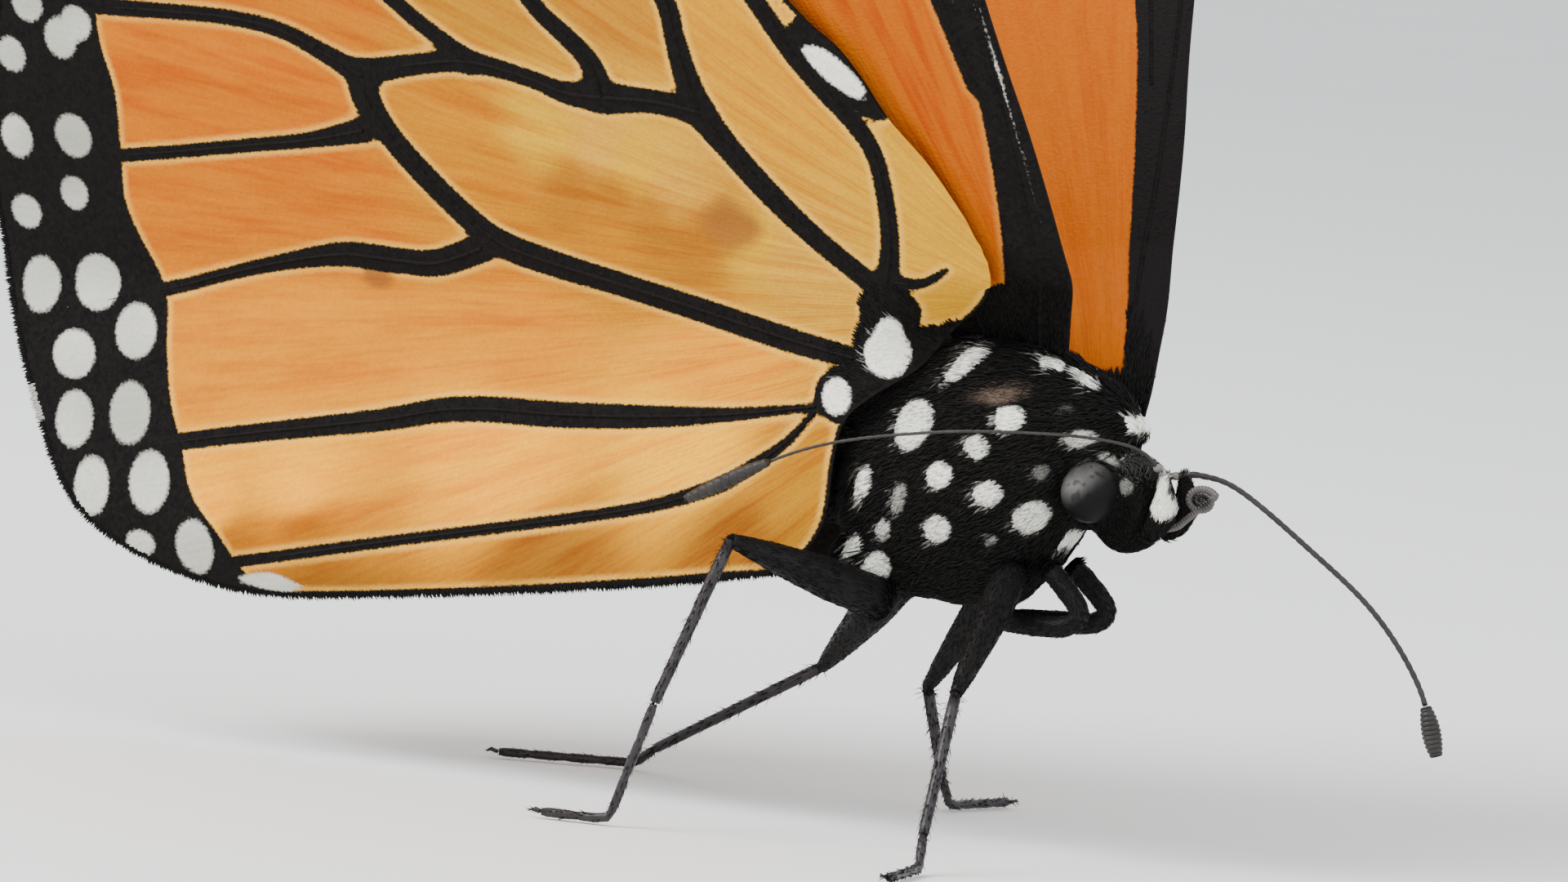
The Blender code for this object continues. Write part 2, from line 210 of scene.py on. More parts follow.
# a closed tube, made by extruding a ring along the path
def sweep(bm, path, radii, sides=10, squash=1.0, across=None):
    pts = [Vector(p) for p in path]
    last = None
    for i, p in enumerate(pts):
        ahead = (pts[min(i + 1, len(pts) - 1)] - pts[max(i - 1, 0)]).normalized()
        if across is None:
            across = ahead.orthogonal().normalized()
        across = (across - ahead * across.dot(ahead)).normalized()
        up = ahead.cross(across)
        turn = Matrix((across * radii[i], up * (radii[i] * squash), ahead)).transposed().to_4x4()
        turn.translation = p
        if last is None:
            ring = bmesh.ops.create_circle(bm, cap_ends=True, segments=sides, radius=1.0,
                                           matrix=turn)["verts"]
            inRing = set(ring)
            edges = [e for v in ring for e in v.link_edges
                     if e.verts[0] in inRing and e.verts[1] in inRing]
            edges = list(set(edges))
        else:
            grown = bmesh.ops.extrude_edge_only(bm, edges=edges)["geom"]
            ring = [g for g in grown if isinstance(g, bmesh.types.BMVert)]
            inRing = set(ring)
            edges = [g for g in grown if isinstance(g, bmesh.types.BMEdge)
                     and g.verts[0] in inRing and g.verts[1] in inRing]
            bmesh.ops.transform(bm, matrix=turn @ last.inverted(), verts=ring)
        last = turn
    bmesh.ops.contextual_create(bm, geom=edges)


# a ball drawn out to three half sizes
def addBall(bm, centre, radii, subdivisions):
    shape = Matrix.Translation(centre) @ Matrix.Diagonal((*radii, 1))
    bmesh.ops.create_icosphere(bm, subdivisions=subdivisions, radius=1.0, matrix=shape)


# the same path with its two ends drawn in to blunt tips
def roundEnds(path, radii, steps=3):
    pts, radii = [Vector(p) for p in path], list(radii)
    angles = [math.pi / 2 * (k + 0.35) / steps for k in range(steps)]
    ends = []
    for tip, second, r in ((pts[0], pts[1], radii[0]), (pts[-1], pts[-2], radii[-1])):
        inward = (second - tip).normalized()
        ends.append(([tip + inward * (r * (1 - math.sin(a))) for a in angles] + [tip + inward * r],
                     [r * math.cos(math.pi / 2 - a) for a in angles]))
    (head, headRadii), (tail, tailRadii) = ends
    return head + pts[1:-1] + tail[::-1], headRadii + radii + tailRadii[::-1]


# a material's tree with short calls for the nodes used here
class Shade:

    def __init__(self, name):
        self.mat = bpy.data.materials.new(name)
        self.mat.use_nodes = True
        self.tree = self.mat.node_tree
        self.bsdf = self.tree.nodes["Principled BSDF"]

    def add(self, kind, ins=(), out=0, **props):
        node = self.tree.nodes.new(kind)
        for key, value in props.items():
            setattr(node, key, value)
        for key, value in dict(ins).items():
            self.put(node.inputs[key], value)
        return node.outputs[out]

    def put(self, socket, value):
        if isinstance(value, bpy.types.NodeSocket):
            self.tree.links.new(value, socket)
        elif isinstance(value, tuple) and len(value) == 3 and socket.type == "RGBA":
            socket.default_value = (*value, 1.0)
        else:
            socket.default_value = value

    def field(self, name, colour=False):
        return self.add("ShaderNodeAttribute", out="Color" if colour else "Fac",
                        attribute_name=name)

    def place(self):
        return self.add("ShaderNodeTexCoord", out="Object")

    def uv(self, name):
        return self.add("ShaderNodeUVMap", uv_map=name)

    def scaled(self, vector, scale):
        return self.add("ShaderNodeMapping", {"Vector": vector, "Scale": scale})

    def noise(self, vector, scale, detail=2.0, rough=0.5):
        return self.add("ShaderNodeTexNoise", {"Vector": vector, "Scale": scale, "Detail": detail,
                                               "Roughness": rough}, out="Fac")

    def cells(self, vector, scale, out="Color"):
        return self.add("ShaderNodeTexVoronoi", {"Vector": vector, "Scale": scale}, out=out)

    def math(self, op, a, b=0.0):
        return self.add("ShaderNodeMath", {0: a, 1: b}, operation=op)

    def span(self, value, low, high, outLow=0.0, outHigh=1.0, smooth=True):
        return self.add("ShaderNodeMapRange",
                        {"Value": value, "From Min": low, "From Max": high, "To Min": outLow,
                         "To Max": outHigh},
                        interpolation_type="SMOOTHSTEP" if smooth else "LINEAR")

    def mix(self, amount, a, b, blend="MIX"):
        node = self.tree.nodes.new("ShaderNodeMix")
        node.data_type = "RGBA"
        node.blend_type = blend
        self.put(node.inputs[0], amount)
        self.put(node.inputs[6], a)
        self.put(node.inputs[7], b)
        return node.outputs[2]

    def bump(self, height, distance, strength=1.0, over=None):
        ins = {"Height": height, "Distance": distance, "Strength": strength}
        if over is not None:
            ins["Normal"] = over
        return self.add("ShaderNodeBump", ins)

    def set(self, **inputs):
        for key, value in inputs.items():
            self.put(self.bsdf.inputs[key.replace("_", " ")], value)
        return self.mat


# camera, light and floor
view = {
    "azimuth": 25.0, "elevation": 4.0, "roll": 5.0,   # degrees
    "lens": 200.0, "sensor": 36.0,
    "distance": 304.76, "right": 6.857, "up": 1.143,  # millimetres from the body's zero
    "key": (-0.28, -0.30, 0.42), "keySize": 0.34, "keyPower": 5.75,
    "fill": (0.42, -0.22, 0.22), "fillSize": 0.4, "fillPower": 1.5,
    "sky": (0.93, 0.96, 1.0), "skyStrength": 1.375,
}


def buildView():
    a, e, t = (math.radians(view[k]) for k in ("azimuth", "elevation", "roll"))
    level = Vector((math.cos(a), math.sin(a), 0))
    back = Vector((math.sin(a) * math.cos(e), -math.cos(a) * math.cos(e), math.sin(e)))
    above = back.cross(level)
    right = level * math.cos(t) + above * math.sin(t)
    up = above * math.cos(t) - level * math.sin(t)
    turn = Matrix((right, up, back)).transposed().to_4x4()
    turn.translation = (bodyZero + back * view["distance"] - right * view["right"]
                        - up * view["up"]) * mm
    lens = bpy.data.cameras.new("camera")
    lens.lens, lens.sensor_width = view["lens"], view["sensor"]
    lens.clip_start, lens.clip_end = 0.01, 50
    camera = newObject("camera", lens)
    camera.matrix_world = turn
    bpy.context.scene.camera = camera

    world = bpy.data.worlds.new("room")
    world.use_nodes = True
    sky = world.node_tree.nodes["Background"]
    sky.inputs["Color"].default_value = (*view["sky"], 1)
    sky.inputs["Strength"].default_value = view["skyStrength"]
    bpy.context.scene.world = world
    middle = (bodyZero + Vector((-8, 0, 2))) * mm
    for name in ("key", "fill"):
        lamp = bpy.data.lights.new(name, "AREA")
        lamp.size = view[name + "Size"]
        lamp.energy = view[name + "Power"]
        ob = newObject(name, lamp)
        ob.location = middle + Vector(view[name])
        ob.rotation_euler = (middle - ob.location).to_track_quat("-Z", "Y").to_euler()

    s = Shade("floorPaint")
    spread = s.noise(s.place(), 9.0, 3.0)
    tint = s.mix(spread, (0.74, 0.74, 0.72), (0.80, 0.80, 0.78))
    s.set(Base_Color=tint, Roughness=0.85)
    bm = bmesh.new()
    bmesh.ops.create_grid(bm, x_segments=1, y_segments=1, size=10.0)
    mesh = bpy.data.meshes.new("floor")
    bm.to_mesh(mesh)
    bm.free()
    mesh.materials.append(s.mat)
    newObject("floor", mesh)


buildView()
print("camera, light and floor")

# the sheet the wings lie on
wingSheet = {
    "rootY": 3.3, "rootZ": 3.0, "opening": 24.0, "foldHeight": 2.5,
    "tuckStart": 9.0, "tuckLength": 4.0, "tuckAngle": 30.0,
    "tipStart": 25.0, "tipLength": 22.0, "tipAngle": 10.0,
    "camber": 0.9, "camberFrom": -14.0, "camberLength": 24.0,
    "lowest": -16.0, "highest": 55.0, "step": 0.02,
}


def leanAt(v):
    w = wingSheet
    a = w["opening"] * (1 - smoothStep(-v / w["foldHeight"]))
    a = a + w["tuckAngle"] * smoothStep((-v - w["tuckStart"]) / w["tuckLength"])
    return np.radians(a + w["tipAngle"] * smoothStep((v - w["tipStart"]) / w["tipLength"]))


def sheetProfile():
    w = wingSheet
    heights = np.arange(w["lowest"], w["highest"], w["step"])
    a = leanAt((heights[1:] + heights[:-1]) / 2)
    y = np.concatenate(([0.0], np.cumsum(np.sin(a)) * w["step"]))
    z = np.concatenate(([0.0], np.cumsum(np.cos(a)) * w["step"]))
    y += w["rootY"] - np.interp(0.0, heights, y)
    z += w["rootZ"] - np.interp(0.0, heights, z)
    return heights, y, z


profile = sheetProfile()


# places on the wings' sheet: x along the body, v up the wing, off outwards
def onSheet(x, v, off, side):
    w = wingSheet
    heights, ys, zs = profile
    a = leanAt(v)
    s = np.maximum(0.0, (w["camberFrom"] - x) / w["camberLength"])
    y = np.interp(v, heights, ys) + off * np.cos(a) + w["camber"] * s * s
    z = np.interp(v, heights, zs) - off * np.sin(a)
    return np.column_stack((x, side * y, z))


# wings
wing = {
    "grid": 0.24,             # spacing of the plate's mesh
    "inset": 0.34,            # the plate stops this far inside the outline, the fringe fills it
    "edgeInset": 0.06,        # along the leading edge and the root, which have no fringe
    "fringed": {"hind": (13.0, 29.4), "fore": (11.5, 20.6)},   # the outline's points with a fringe
    "half": 0.055,            # half thickness of the membrane
    "rimHalf": 0.02,
    "bandLift": 0.035,        # how much the black bands stand up from the membrane
    "veinWidth": 0.11,        # half width of the hard vein in the middle of a band
    "veinHeight": 0.15,
    "fillet": 9.0,            # sharpness of the corners where bands meet, per millimetre
    "forewingInset": 0.6,
    # degrees it is turned, and where its root is
    "forewingPose": {"right": (11.2, (4.0, -0.7)), "left": (8.2, (4.8, -0.6))},
    "rootStretch": {"right": 0.3, "left": 1.5},     # draws the root down into the thorax
    "rootTuck": {"right": 1.7, "left": 1.3},        # and in towards the middle
    "rootShift": {"right": -0.8, "left": 0.8, "hind": -0.35},       # and along the body
    "rootLength": 4.0,
    # the hindwing's root: place, reach and how far it tucks in
    "hindTuck": {"right": (0.3, -1.0, 3.2, 1.35), "left": (-1.3, -1.9, 5.4, 2.4)},
    "bow": {"right": 0.35, "left": 0.1},            # how far the forewing bends forwards past its root
    "bowRun": (2.5, 10.0, 20.0),                    # where it rises, starts to fall, and over what length
    "foreRootBlack": (0.55, 2.4),      # the forewing is black this far from its root, above and below
    "darkRim": 0.14,                   # thin dark outline of the hindwing
    "rimStops": (-3.3, 1.6),           # none along its leading edge, forward of and above this place
    "scent": (-22.9, 0.25, 1.5, 0.75, 0.75),        # the male's dark patch: place, half sizes, firmness
    # brown smudges of the underside: place, half sizes, core
    "smudges": ((-8.0, 3.0, 1.3, 1.2, 0.4), (-22.45, -0.6, 0.8, 0.6, 0.45)),
    "smudgeEnd": 1.15, "smudgeRagged": 0.16,
    "rayCentre": {"hind": (4.0, 1.0), "fore": (-6.0, 0.0)},         # the streaks spread from here
    "swellWidth": 0.35,                # a band rises over this width
    "sag": (2.2, 0.05),                # a cell's middle sinks: over what width, how deep
    "ripple": (0.8, 0.03, 60, 2),      # fine waves: where full, height, across and along
}

outlineSteps = 6
hindOutline = smoothPath((
    (-1.3, -1.9), (-0.3, -0.95), (0.85, 0.05), (1.85, 2.0), (1.0, 4.3), (-0.15, 6.1),
    (-1.55, 7.7), (-2.35, 9.0), (-3.25, 10.2), (-4.6, 11.4), (-6.9, 14.2), (-10.2, 18.6),
    (-14.2, 21.9), (-18.8, 23.5),
    (-23.4, 23.2), (-27.9, 21.2), (-31.8, 17.8), (-34.9, 13.2), (-36.8, 8.0), (-37.7, 3.2),
    (-37.7, -1.1), (-37.0, -4.1), (-35.9, -7.1), (-34.5, -9.8), (-32.5, -11.5), (-29.4, -12.7),
    (-26.1, -13.0), (-20.5, -12.25), (-14.0, -11.2), (-8.0, -10.1), (-5.5, -9.2), (-4.3, -7.6),
    (-4.1, -5.3), (-3.8, -3.9), (-2.9, -3.0)), outlineSteps, closed=True)
foreOutline = smoothPath((
    (-0.75, 0.0), (0.6, -0.45), (2.5, -0.7), (5.0, -0.75), (8.0, -0.7), (12.0, -0.5),
    (20.0, -0.4), (28.0, 0.0), (35.0, 1.0), (41.0, 2.7),
    (45.5, 4.9), (48.7, 7.6), (50.0, 10.3), (49.3, 12.8), (46.6, 15.3), (42.8, 17.6),
    (38.8, 19.8), (34.8, 22.0), (31.4, 24.1), (28.6, 25.7), (25.6, 25.8), (22.0, 23.6),
    (16.0, 18.6), (10.0, 13.2), (5.0, 8.4), (1.6, 5.2), (0.2, 3.9), (-0.7, 3.0)),
    outlineSteps, closed=True, corners=(0, 27))

# each vein's black band: place along the body, place up the wing, half width
hindVeins = {
    "cubitusStem": ((-3.7, -1.65, .4), (-6.4, -1.2, .48), (-9.6, -.5, .5), (-12.7, .15, .5),
                    (-15.2, .65, .55), (-17.1, 1.15, .58), (-18.2, 1.85, .52), (-19.8, 3.35, .5),
                    (-21.2, 4.95, .5), (-22.0, 6.35, .6), (-22.05, 7.25, .6)),
    "radius": ((-2.6, 1.1, .42), (-4.8, 2.8, .45), (-6.4, 4.3, .5), (-7.65, 5.7, .52),
               (-8.75, 7.15, .6), (-9.25, 8.7, .5), (-9.5, 10.1, .42), (-9.7, 11.3, .42),
               (-10.9, 14.5, .4), (-12.8, 18.0, .38), (-14.8, 21.0, .36), (-15.5, 22.7, .36)),
    "crossVein": ((-8.75, 7.15, .55), (-10.6, 7.4, .48), (-12.6, 7.35, .6), (-14.1, 7.4, .45),
                  (-15.4, 7.8, .36), (-17.7, 8.2, .42), (-19.85, 7.9, .42), (-21.9, 7.4, .5)),
    "media1": ((-12.6, 7.4, .6), (-12.95, 8.7, .45), (-13.9, 9.7, .4), (-14.95, 10.75, .38),
               (-17.1, 14.0, .36), (-19.2, 18.0, .36), (-20.7, 22.0, .36), (-21.3, 23.6, .36)),
    "media2": ((-17.7, 8.2, .45), (-19.05, 9.2, .36), (-20.3, 10.2, .35), (-23.2, 13.0, .34),
               (-26.0, 17.0, .34), (-28.2, 21.2, .34)),
    "media3": ((-22.05, 7.25, .5), (-23.4, 7.95, .4), (-25.1, 8.7, .34), (-27.15, 9.0, .32),
               (-29.75, 9.0, .32), (-31.7, 8.95, .34), (-36.6, 8.9, .35)),
    "cubitus1": ((-22.3, 5.1, .5), (-24.5, 4.5, .32), (-27.2, 4.0, .28), (-31.9, 3.15, .28),
                 (-37.9, 2.3, .35)),
    "cubitus2": ((-18.1, .95, .55), (-19.95, .18, .53), (-21.4, .1, .53), (-22.5, .12, .54),
                 (-23.6, .12, .5), (-25.0, -.15, .4), (-27.0, -.7, .3), (-29.1, -1.38, .26),
                 (-31.0, -2.0, .28), (-37.5, -3.7, .35)),
    "anal2": ((-5.0, -3.5, .14), (-8.1, -4.1, .26), (-11.5, -4.55, .42), (-15.0, -4.85, .48),
              (-17.7, -4.95, .48), (-19.65, -5.2, .46), (-22.0, -5.8, .42), (-26.0, -6.6, .36),
              (-30.0, -7.45, .33), (-36.0, -8.9, .35)),
    "anal3": ((-5.0, -3.7, .12), (-6.1, -4.95, .2), (-7.6, -6.1, .28), (-8.8, -6.8, .3),
              (-11.5, -7.8, .24), (-16.7, -9.05, .22), (-22.0, -10.25, .22),
              (-27.8, -11.65, .24), (-31.0, -12.5, .3)),
    "subcosta": ((-2.2, 1.4, .45), (-1.95, 2.8, .38), (-1.95, 4.5, .36), (-2.2, 6.2, .36),
                 (-2.9, 7.4, .4), (-3.95, 8.55, .42), (-4.95, 9.75, .42), (-5.85, 11.1, .4),
                 (-8.5, 15.2, .36), (-11.2, 19.4, .36)),
    "humeral": ((-1.95, 1.4, .3), (-.85, 1.45, .22), (.15, 2.1, .12)),
}
# the orange field that the black border leaves free; elsewhere it runs past the wing's edge
hindField = smoothPath((
    (-32.4, 8.9), (-32.1, 5.7), (-32.2, 3.1), (-32.3, 1.4), (-31.7, -0.4), (-30.9, -2.2),
    (-30.7, -4.0), (-30.4, -6.0), (-29.8, -7.6), (-29.3, -9.2), (-28.1, -10.6), (-27.2, -11.9),
    (-26.2, -12.6), (-23.5, -13.6), (-14.0, -13.0), (-6.0, -12.0), (-1.5, -8.0), (0.0, -3.0),
    (3.0, -1.0), (4.0, 3.0), (2.0, 7.0), (-1.0, 10.0), (-4.0, 13.0), (-9.0, 17.0),
    (-12.5, 19.2), (-16.5, 20.5), (-20.5, 20.4), (-24.5, 19.1), (-28.0, 16.8), (-30.6, 13.4)),
    4, closed=True)
# white spots: place along the body, up the wing, half size each way
hindDots = (
    (-34.0, 7.55, .62, .8), (-34.05, 3.7, .72, .86), (-34.35, 1.4, .55, .66),
    (-33.7, -2.0, .9, 1.05), (-32.0, -3.62, .82, 1.02), (-32.0, -6.6, .8, 1.15),
    (-31.0, -9.0, .8, 1.15), (-29.1, -11.2, .75, 1.05),
    (-36.1, 6.7, .56, .7), (-36.35, 3.45, .62, .85), (-36.4, .45, .6, .66),
    (-35.95, -2.3, .75, 1.05), (-34.4, -4.7, .85, .9), (-34.2, -7.05, .75, 1.05),
    (-33.3, -9.4, .7, 1.1), (-31.3, -11.3, .6, .5),
)
# white streaks of the underside: place along the body, up the wing, half width
hindCostalSpot = ((-4.45, 10.0, .15), (-3.95, 9.7, .42), (-3.4, 9.25, .48), (-2.8, 8.75, .38),
                  (-2.4, 8.45, .14))
hindDash = ((-27.3, -12.25, .16), (-26.1, -12.2, .38), (-24.9, -12.35, .14))
# round black places at the root: place along the body, up the wing, radius
hindRoot = ((-2.25, .2, 1.15), (-2.4, -1.1, 1.28), (-.9, -1.75, 1.25), (.2, -1.65, 1.3),
            (1.3, -1.45, 1.2), (-4.1, -3.0, 1.0), (-3.0, -2.4, 1.2), (-3.9, -9.7, .6))
hindUpperRoot = ((-1.5, -2.0, 4.2), (-4.5, -6.0, 3.2), (-5.2, -9.6, 2.6))
hindCostalBlack = ((-4.7, 10.5, .5), (-3.9, 9.8, .85), (-3.0, 9.2, .95), (-2.3, 8.5, .78),
                   (-1.95, 8.1, .6))
# white spots in them, underneath
hindRootSpots = ((-2.42, -1.38, .86, .84), (-2.3, -.55, .47, .56), (-2.36, -.9, .62, .6),
                 (-4.22, -3.05, .56, .66))

# the forewing's places are out along the wing and back across it
foreVeins = {
    "radiusStem": ((10.0, .8, .4), (14.0, 1.3, .42), (18.0, 2.1, .45), (24.0, 3.6, .5)),
    "costa": ((-2.0, 1.1, 1.9), (0.0, .9, 1.7), (3.0, .45, 1.3), (6.0, .2, 1.0), (9.0, .1, .8),
              (12.0, .05, .65), (17.0, .05, .55), (24.0, .2, .6), (28.0, .6, .7), (35.0, 1.6, .8)),
    "cubitusStem": ((.6, 3.0, .9), (3.5, 4.2, .55), (10.0, 6.5, .5), (17.0, 10.0, .5),
                    (22.0, 11.5, .5), (24.5, 9.5, .45), (24.8, 6.0, .45), (24.0, 3.6, .45)),
    "cubitus2": ((12.0, 7.6, .5), (18.0, 13.8, .42), (24.0, 20.6, .42), (28.5, 25.6, .42)),
    "cubitus1": ((18.0, 10.5, .5), (25.0, 15.2, .42), (31.0, 19.2, .42), (35.0, 22.0, .42)),
    "media3": ((22.5, 11.2, .5), (29.0, 13.8, .42), (35.0, 16.8, .42), (39.8, 19.4, .42)),
    "media2": ((24.7, 8.6, .45), (31.0, 10.4, .4), (38.0, 13.8, .4), (43.8, 17.2, .4)),
    "media1": ((24.8, 5.8, .45), (32.0, 7.2, .4), (40.0, 10.8, .4), (47.2, 15.0, .4)),
    "radius5": ((24.4, 4.2, .45), (31.0, 4.9, .5), (39.0, 6.8, .5), (45.0, 9.4, .5),
                (49.8, 12.2, .5)),
    "radius3": ((31.0, 4.9, .5), (38.0, 4.6, .5), (45.0, 6.6, .5), (50.0, 10.2, .5)),
    "radius1": ((18.0, 2.8, .45), (27.0, 2.0, .5), (38.0, 1.9, .5)),
    "anal2": ((1.0, 4.4, .5), (6.0, 8.2, .4), (12.0, 13.6, .38), (19.0, 19.6, .38),
              (25.4, 25.0, .38)),
}
# on the upper side the leading edge's black is narrow at the root
foreUpperVeins = dict(foreVeins)
foreUpperVeins["costa"] = ((-2.0, .1, .75), (0.0, .05, .8), (6.5, .05, 1.1), (12.5, .3, 1.4),
                           (18.0, 1.0, 1.7), (24.0, 1.7, 1.9), (30.0, 2.2, 1.9), (35.0, 2.0, 1.2))
foreUpperVeins["cubitusStem"] = ((.2, 4.0, .2), (3.5, 4.9, .3), (10.0, 6.8, .42), (17.0, 10.0, .45),
                                 (22.0, 11.5, .5), (24.5, 9.5, .45), (24.8, 6.0, .45), (24.0, 3.6, .45))
foreUpperVeins["anal2"] = ((1.0, 5.0, .2), (6.0, 8.4, .3), (12.0, 13.6, .38), (19.0, 19.6, .38),
                           (25.4, 25.0, .38))
foreUpperVeins["radiusStem"] = ((13.0, 1.3, .3), (18.0, 2.1, .4), (24.0, 3.6, .5))
# the pale line on the leading edge underneath
forePaleEdge = ((3.5, -.3, -.03), (5.5, -.3, .02), (9.0, -.27, .03), (13.0, -.12, .03),
                (20.0, -.1, -.02))
foreField = smoothPath((
    (-3.0, -1.0), (2.0, -1.5), (8.0, -1.5), (16.0, -1.0), (22.0, 0.8), (27.5, 3.4), (29.0, 6.0),
    (33.0, 7.6), (36.5, 10.2), (37.2, 13.4), (34.6, 16.6), (31.2, 18.6), (29.0, 21.0),
    (26.2, 21.9), (23.0, 20.6), (17.0, 16.0), (13.0, 13.5), (9.0, 13.6), (5.0, 10.0),
    (-1.0, 5.0), (-3.0, 3.0)), 4, closed=True)
foreTipSpots = (
    (31.5, 3.5, 1.2, .5), (33.5, 5.7, 1.5, .75), (35.0, 8.6, 1.3, .8), (38.5, 3.3, .8, .35),
    (40.6, 5.9, .7, .5), (42.3, 8.7, .7, .55), (43.0, 11.7, .6, .55),
)


# an outline closed on itself, and how far along it each point lies
def loopRun(outline):
    closed = np.vstack((outline, outline[:1]))
    return closed, np.concatenate(([0.0], np.cumsum(np.hypot(*np.diff(closed, axis=0).T))))


# the place that far along a path
def placeAt(s, run, path):
    return np.stack([np.interp(s, run, path[:, k]) for k in range(path.shape[1])], axis=-1)


# a row of round spots that keeps its depth from the margin
def marginDots(outline, start, stop, depth, pitch, size):
    closed, run = loopRun(outline)
    out = []
    for s in np.arange(start, stop, pitch):
        p, q = placeAt(s, run, closed), placeAt(s + .2, run, closed)
        ahead = (q - p) / np.hypot(*(q - p))
        inward = np.array([-ahead[1], ahead[0]])
        if not insideOutline((p + inward * 0.5)[None], outline)[0]:
            inward = -inward
        out.append((*(p + inward * depth), size, size * 1.15))
    return out


# how far along an outline its point nearest (x, v) lies
def runAt(outline, x, v):
    closed, run = loopRun(outline)
    return run[np.argmin(np.hypot(closed[:, 0] - x, closed[:, 1] - v))]


# 1 on an oval's edge, less inside it
def ovalReach(points, x, v, a, b):
    return np.hypot((points[:, 0] - x) / a, (points[:, 1] - v) / b)


# signed distance to the nearest of some oval spots
def dotGap(points, dots):
    best = np.full(len(points), 1e9)
    for x, v, a, b in dots:
        q = ovalReach(points, x, v, a, b)
        best = np.minimum(best, (q - 1) * min(a, b))
    return best


# how much of the full inset each point of an outline takes
def fringeShare(outline, kind):
    first, last = wing["fringed"][kind]
    step = np.arange(len(outline)) / outlineSteps
    return smoothStep((step - first) / 1.2 + 0.5) * smoothStep((last - step) / 1.2 + 0.5)


def insetOutline(outline, depth):
    depth = depth[:, None]
    ahead = np.roll(outline, -1, 0) - np.roll(outline, 1, 0)
    ahead /= np.hypot(*ahead.T)[:, None]
    inward = np.column_stack((-ahead[:, 1], ahead[:, 0]))
    if not insideOutline(outline[:1] + inward[:1] * 0.05, outline)[0]:
        inward = -inward
    return outline + inward * depth


def nearestOn(points, loop):
    best = np.full(len(points), 1e9)
    out = points.copy()
    for p, q in zip(loop, np.roll(loop, -1, 0)):
        d = q - p
        t = np.clip((points - p) @ d / max(d @ d, 1e-12), 0, 1)
        at = p + t[:, None] * d
        gap = np.hypot(*(points - at).T)
        closer = gap < best
        out[closer] = at[closer]
        best = np.minimum(best, gap)
    return out


# a flat closed plate inside the outline, x and v in its plane, z out of it
def wingPlate(rim):
    low, high = rim.min(0) - wing["grid"], rim.max(0) + wing["grid"]
    count = np.ceil((high - low) / wing["grid"]).astype(int)
    middle, size = (low + high) / 2, high - low
    bm = bmesh.new()
    bmesh.ops.create_grid(bm, x_segments=int(count[0]), y_segments=int(count[1]), size=0.5,
                          matrix=Matrix.Translation((*middle, 0)) @ Matrix.Diagonal((*size, 1, 1)))
    gap = outlineGap(np.array([v.co.xy for v in bm.verts]), rim)
    far = [v for v, g in zip(bm.verts, gap) if g > wing["grid"] * 0.45]
    bmesh.ops.delete(bm, geom=far, context="VERTS")
    stray = [v for v in bm.verts if not v.link_faces]
    bmesh.ops.delete(bm, geom=stray, context="VERTS")
    edge = [v for v in bm.verts if v.is_boundary]
    for v, p in zip(edge, nearestOn(np.array([v.co.xy for v in edge]), rim)):
        v.co.xy = p
        v.co.z = 1.0                       # marks the rim, set right below
    grown = bmesh.ops.extrude_face_region(bm, geom=bm.faces[:])["geom"]
    outer = {g for g in grown if isinstance(g, bmesh.types.BMVert)}
    for v in bm.verts:
        half = wing["rimHalf"] if v.co.z > 0.5 else wing["half"]
        v.co.z = half if v in outer else -half
    bmesh.ops.recalc_face_normals(bm, faces=bm.faces[:])
    return bm


# the hard round veins, down the middle of each black band
def addVeins(bm, veins, outline):
    for name, points in veins.items():
        path = smoothPath(points, 4)
        path = path[outlineGap(path[:, :2], outline) < -0.14]
        ends = path[:, 2].clip(0.12, 0.5) / 0.5
        radii = wing["veinWidth"] * (0.55 + 0.45 * ends)
        taper = np.ones(len(path))
        taper[-6:] = np.linspace(1.0, 0.45, 6)
        sweep(bm, [(x, v, 0.0) for x, v, _ in path], list(radii * taper), sides=8,
              squash=wing["veinHeight"] / wing["veinWidth"], across=Vector((0, 0, 1)).cross(
                  Vector((path[1][0] - path[0][0], path[1][1] - path[0][1], 0))).normalized())


# signed distance to the black bands, drawn together in soft corners where they meet
def bandGap(points, veins):
    k = wing["fillet"]
    total = np.zeros(len(points))
    for path in veins.values():
        gap = lineGap(points, smoothPath(path, 4))
        total += np.exp(-k * np.clip(gap, -3, 8))
    return -np.log(total + 1e-30) / k


# a colour for each point from the cell it lies in, running softly between the anchors
def cellTone(points, anchors):
    total = np.zeros(len(points))
    out = np.zeros((len(points), 3))
    for colour, places in anchors:
        for x, v in places:
            w = 1.0 / (0.4 + np.hypot(points[:, 0] - x, points[:, 1] - v)) ** 5
            total += w
            out += w[:, None] * np.array(colour)
    return out / total[:, None]


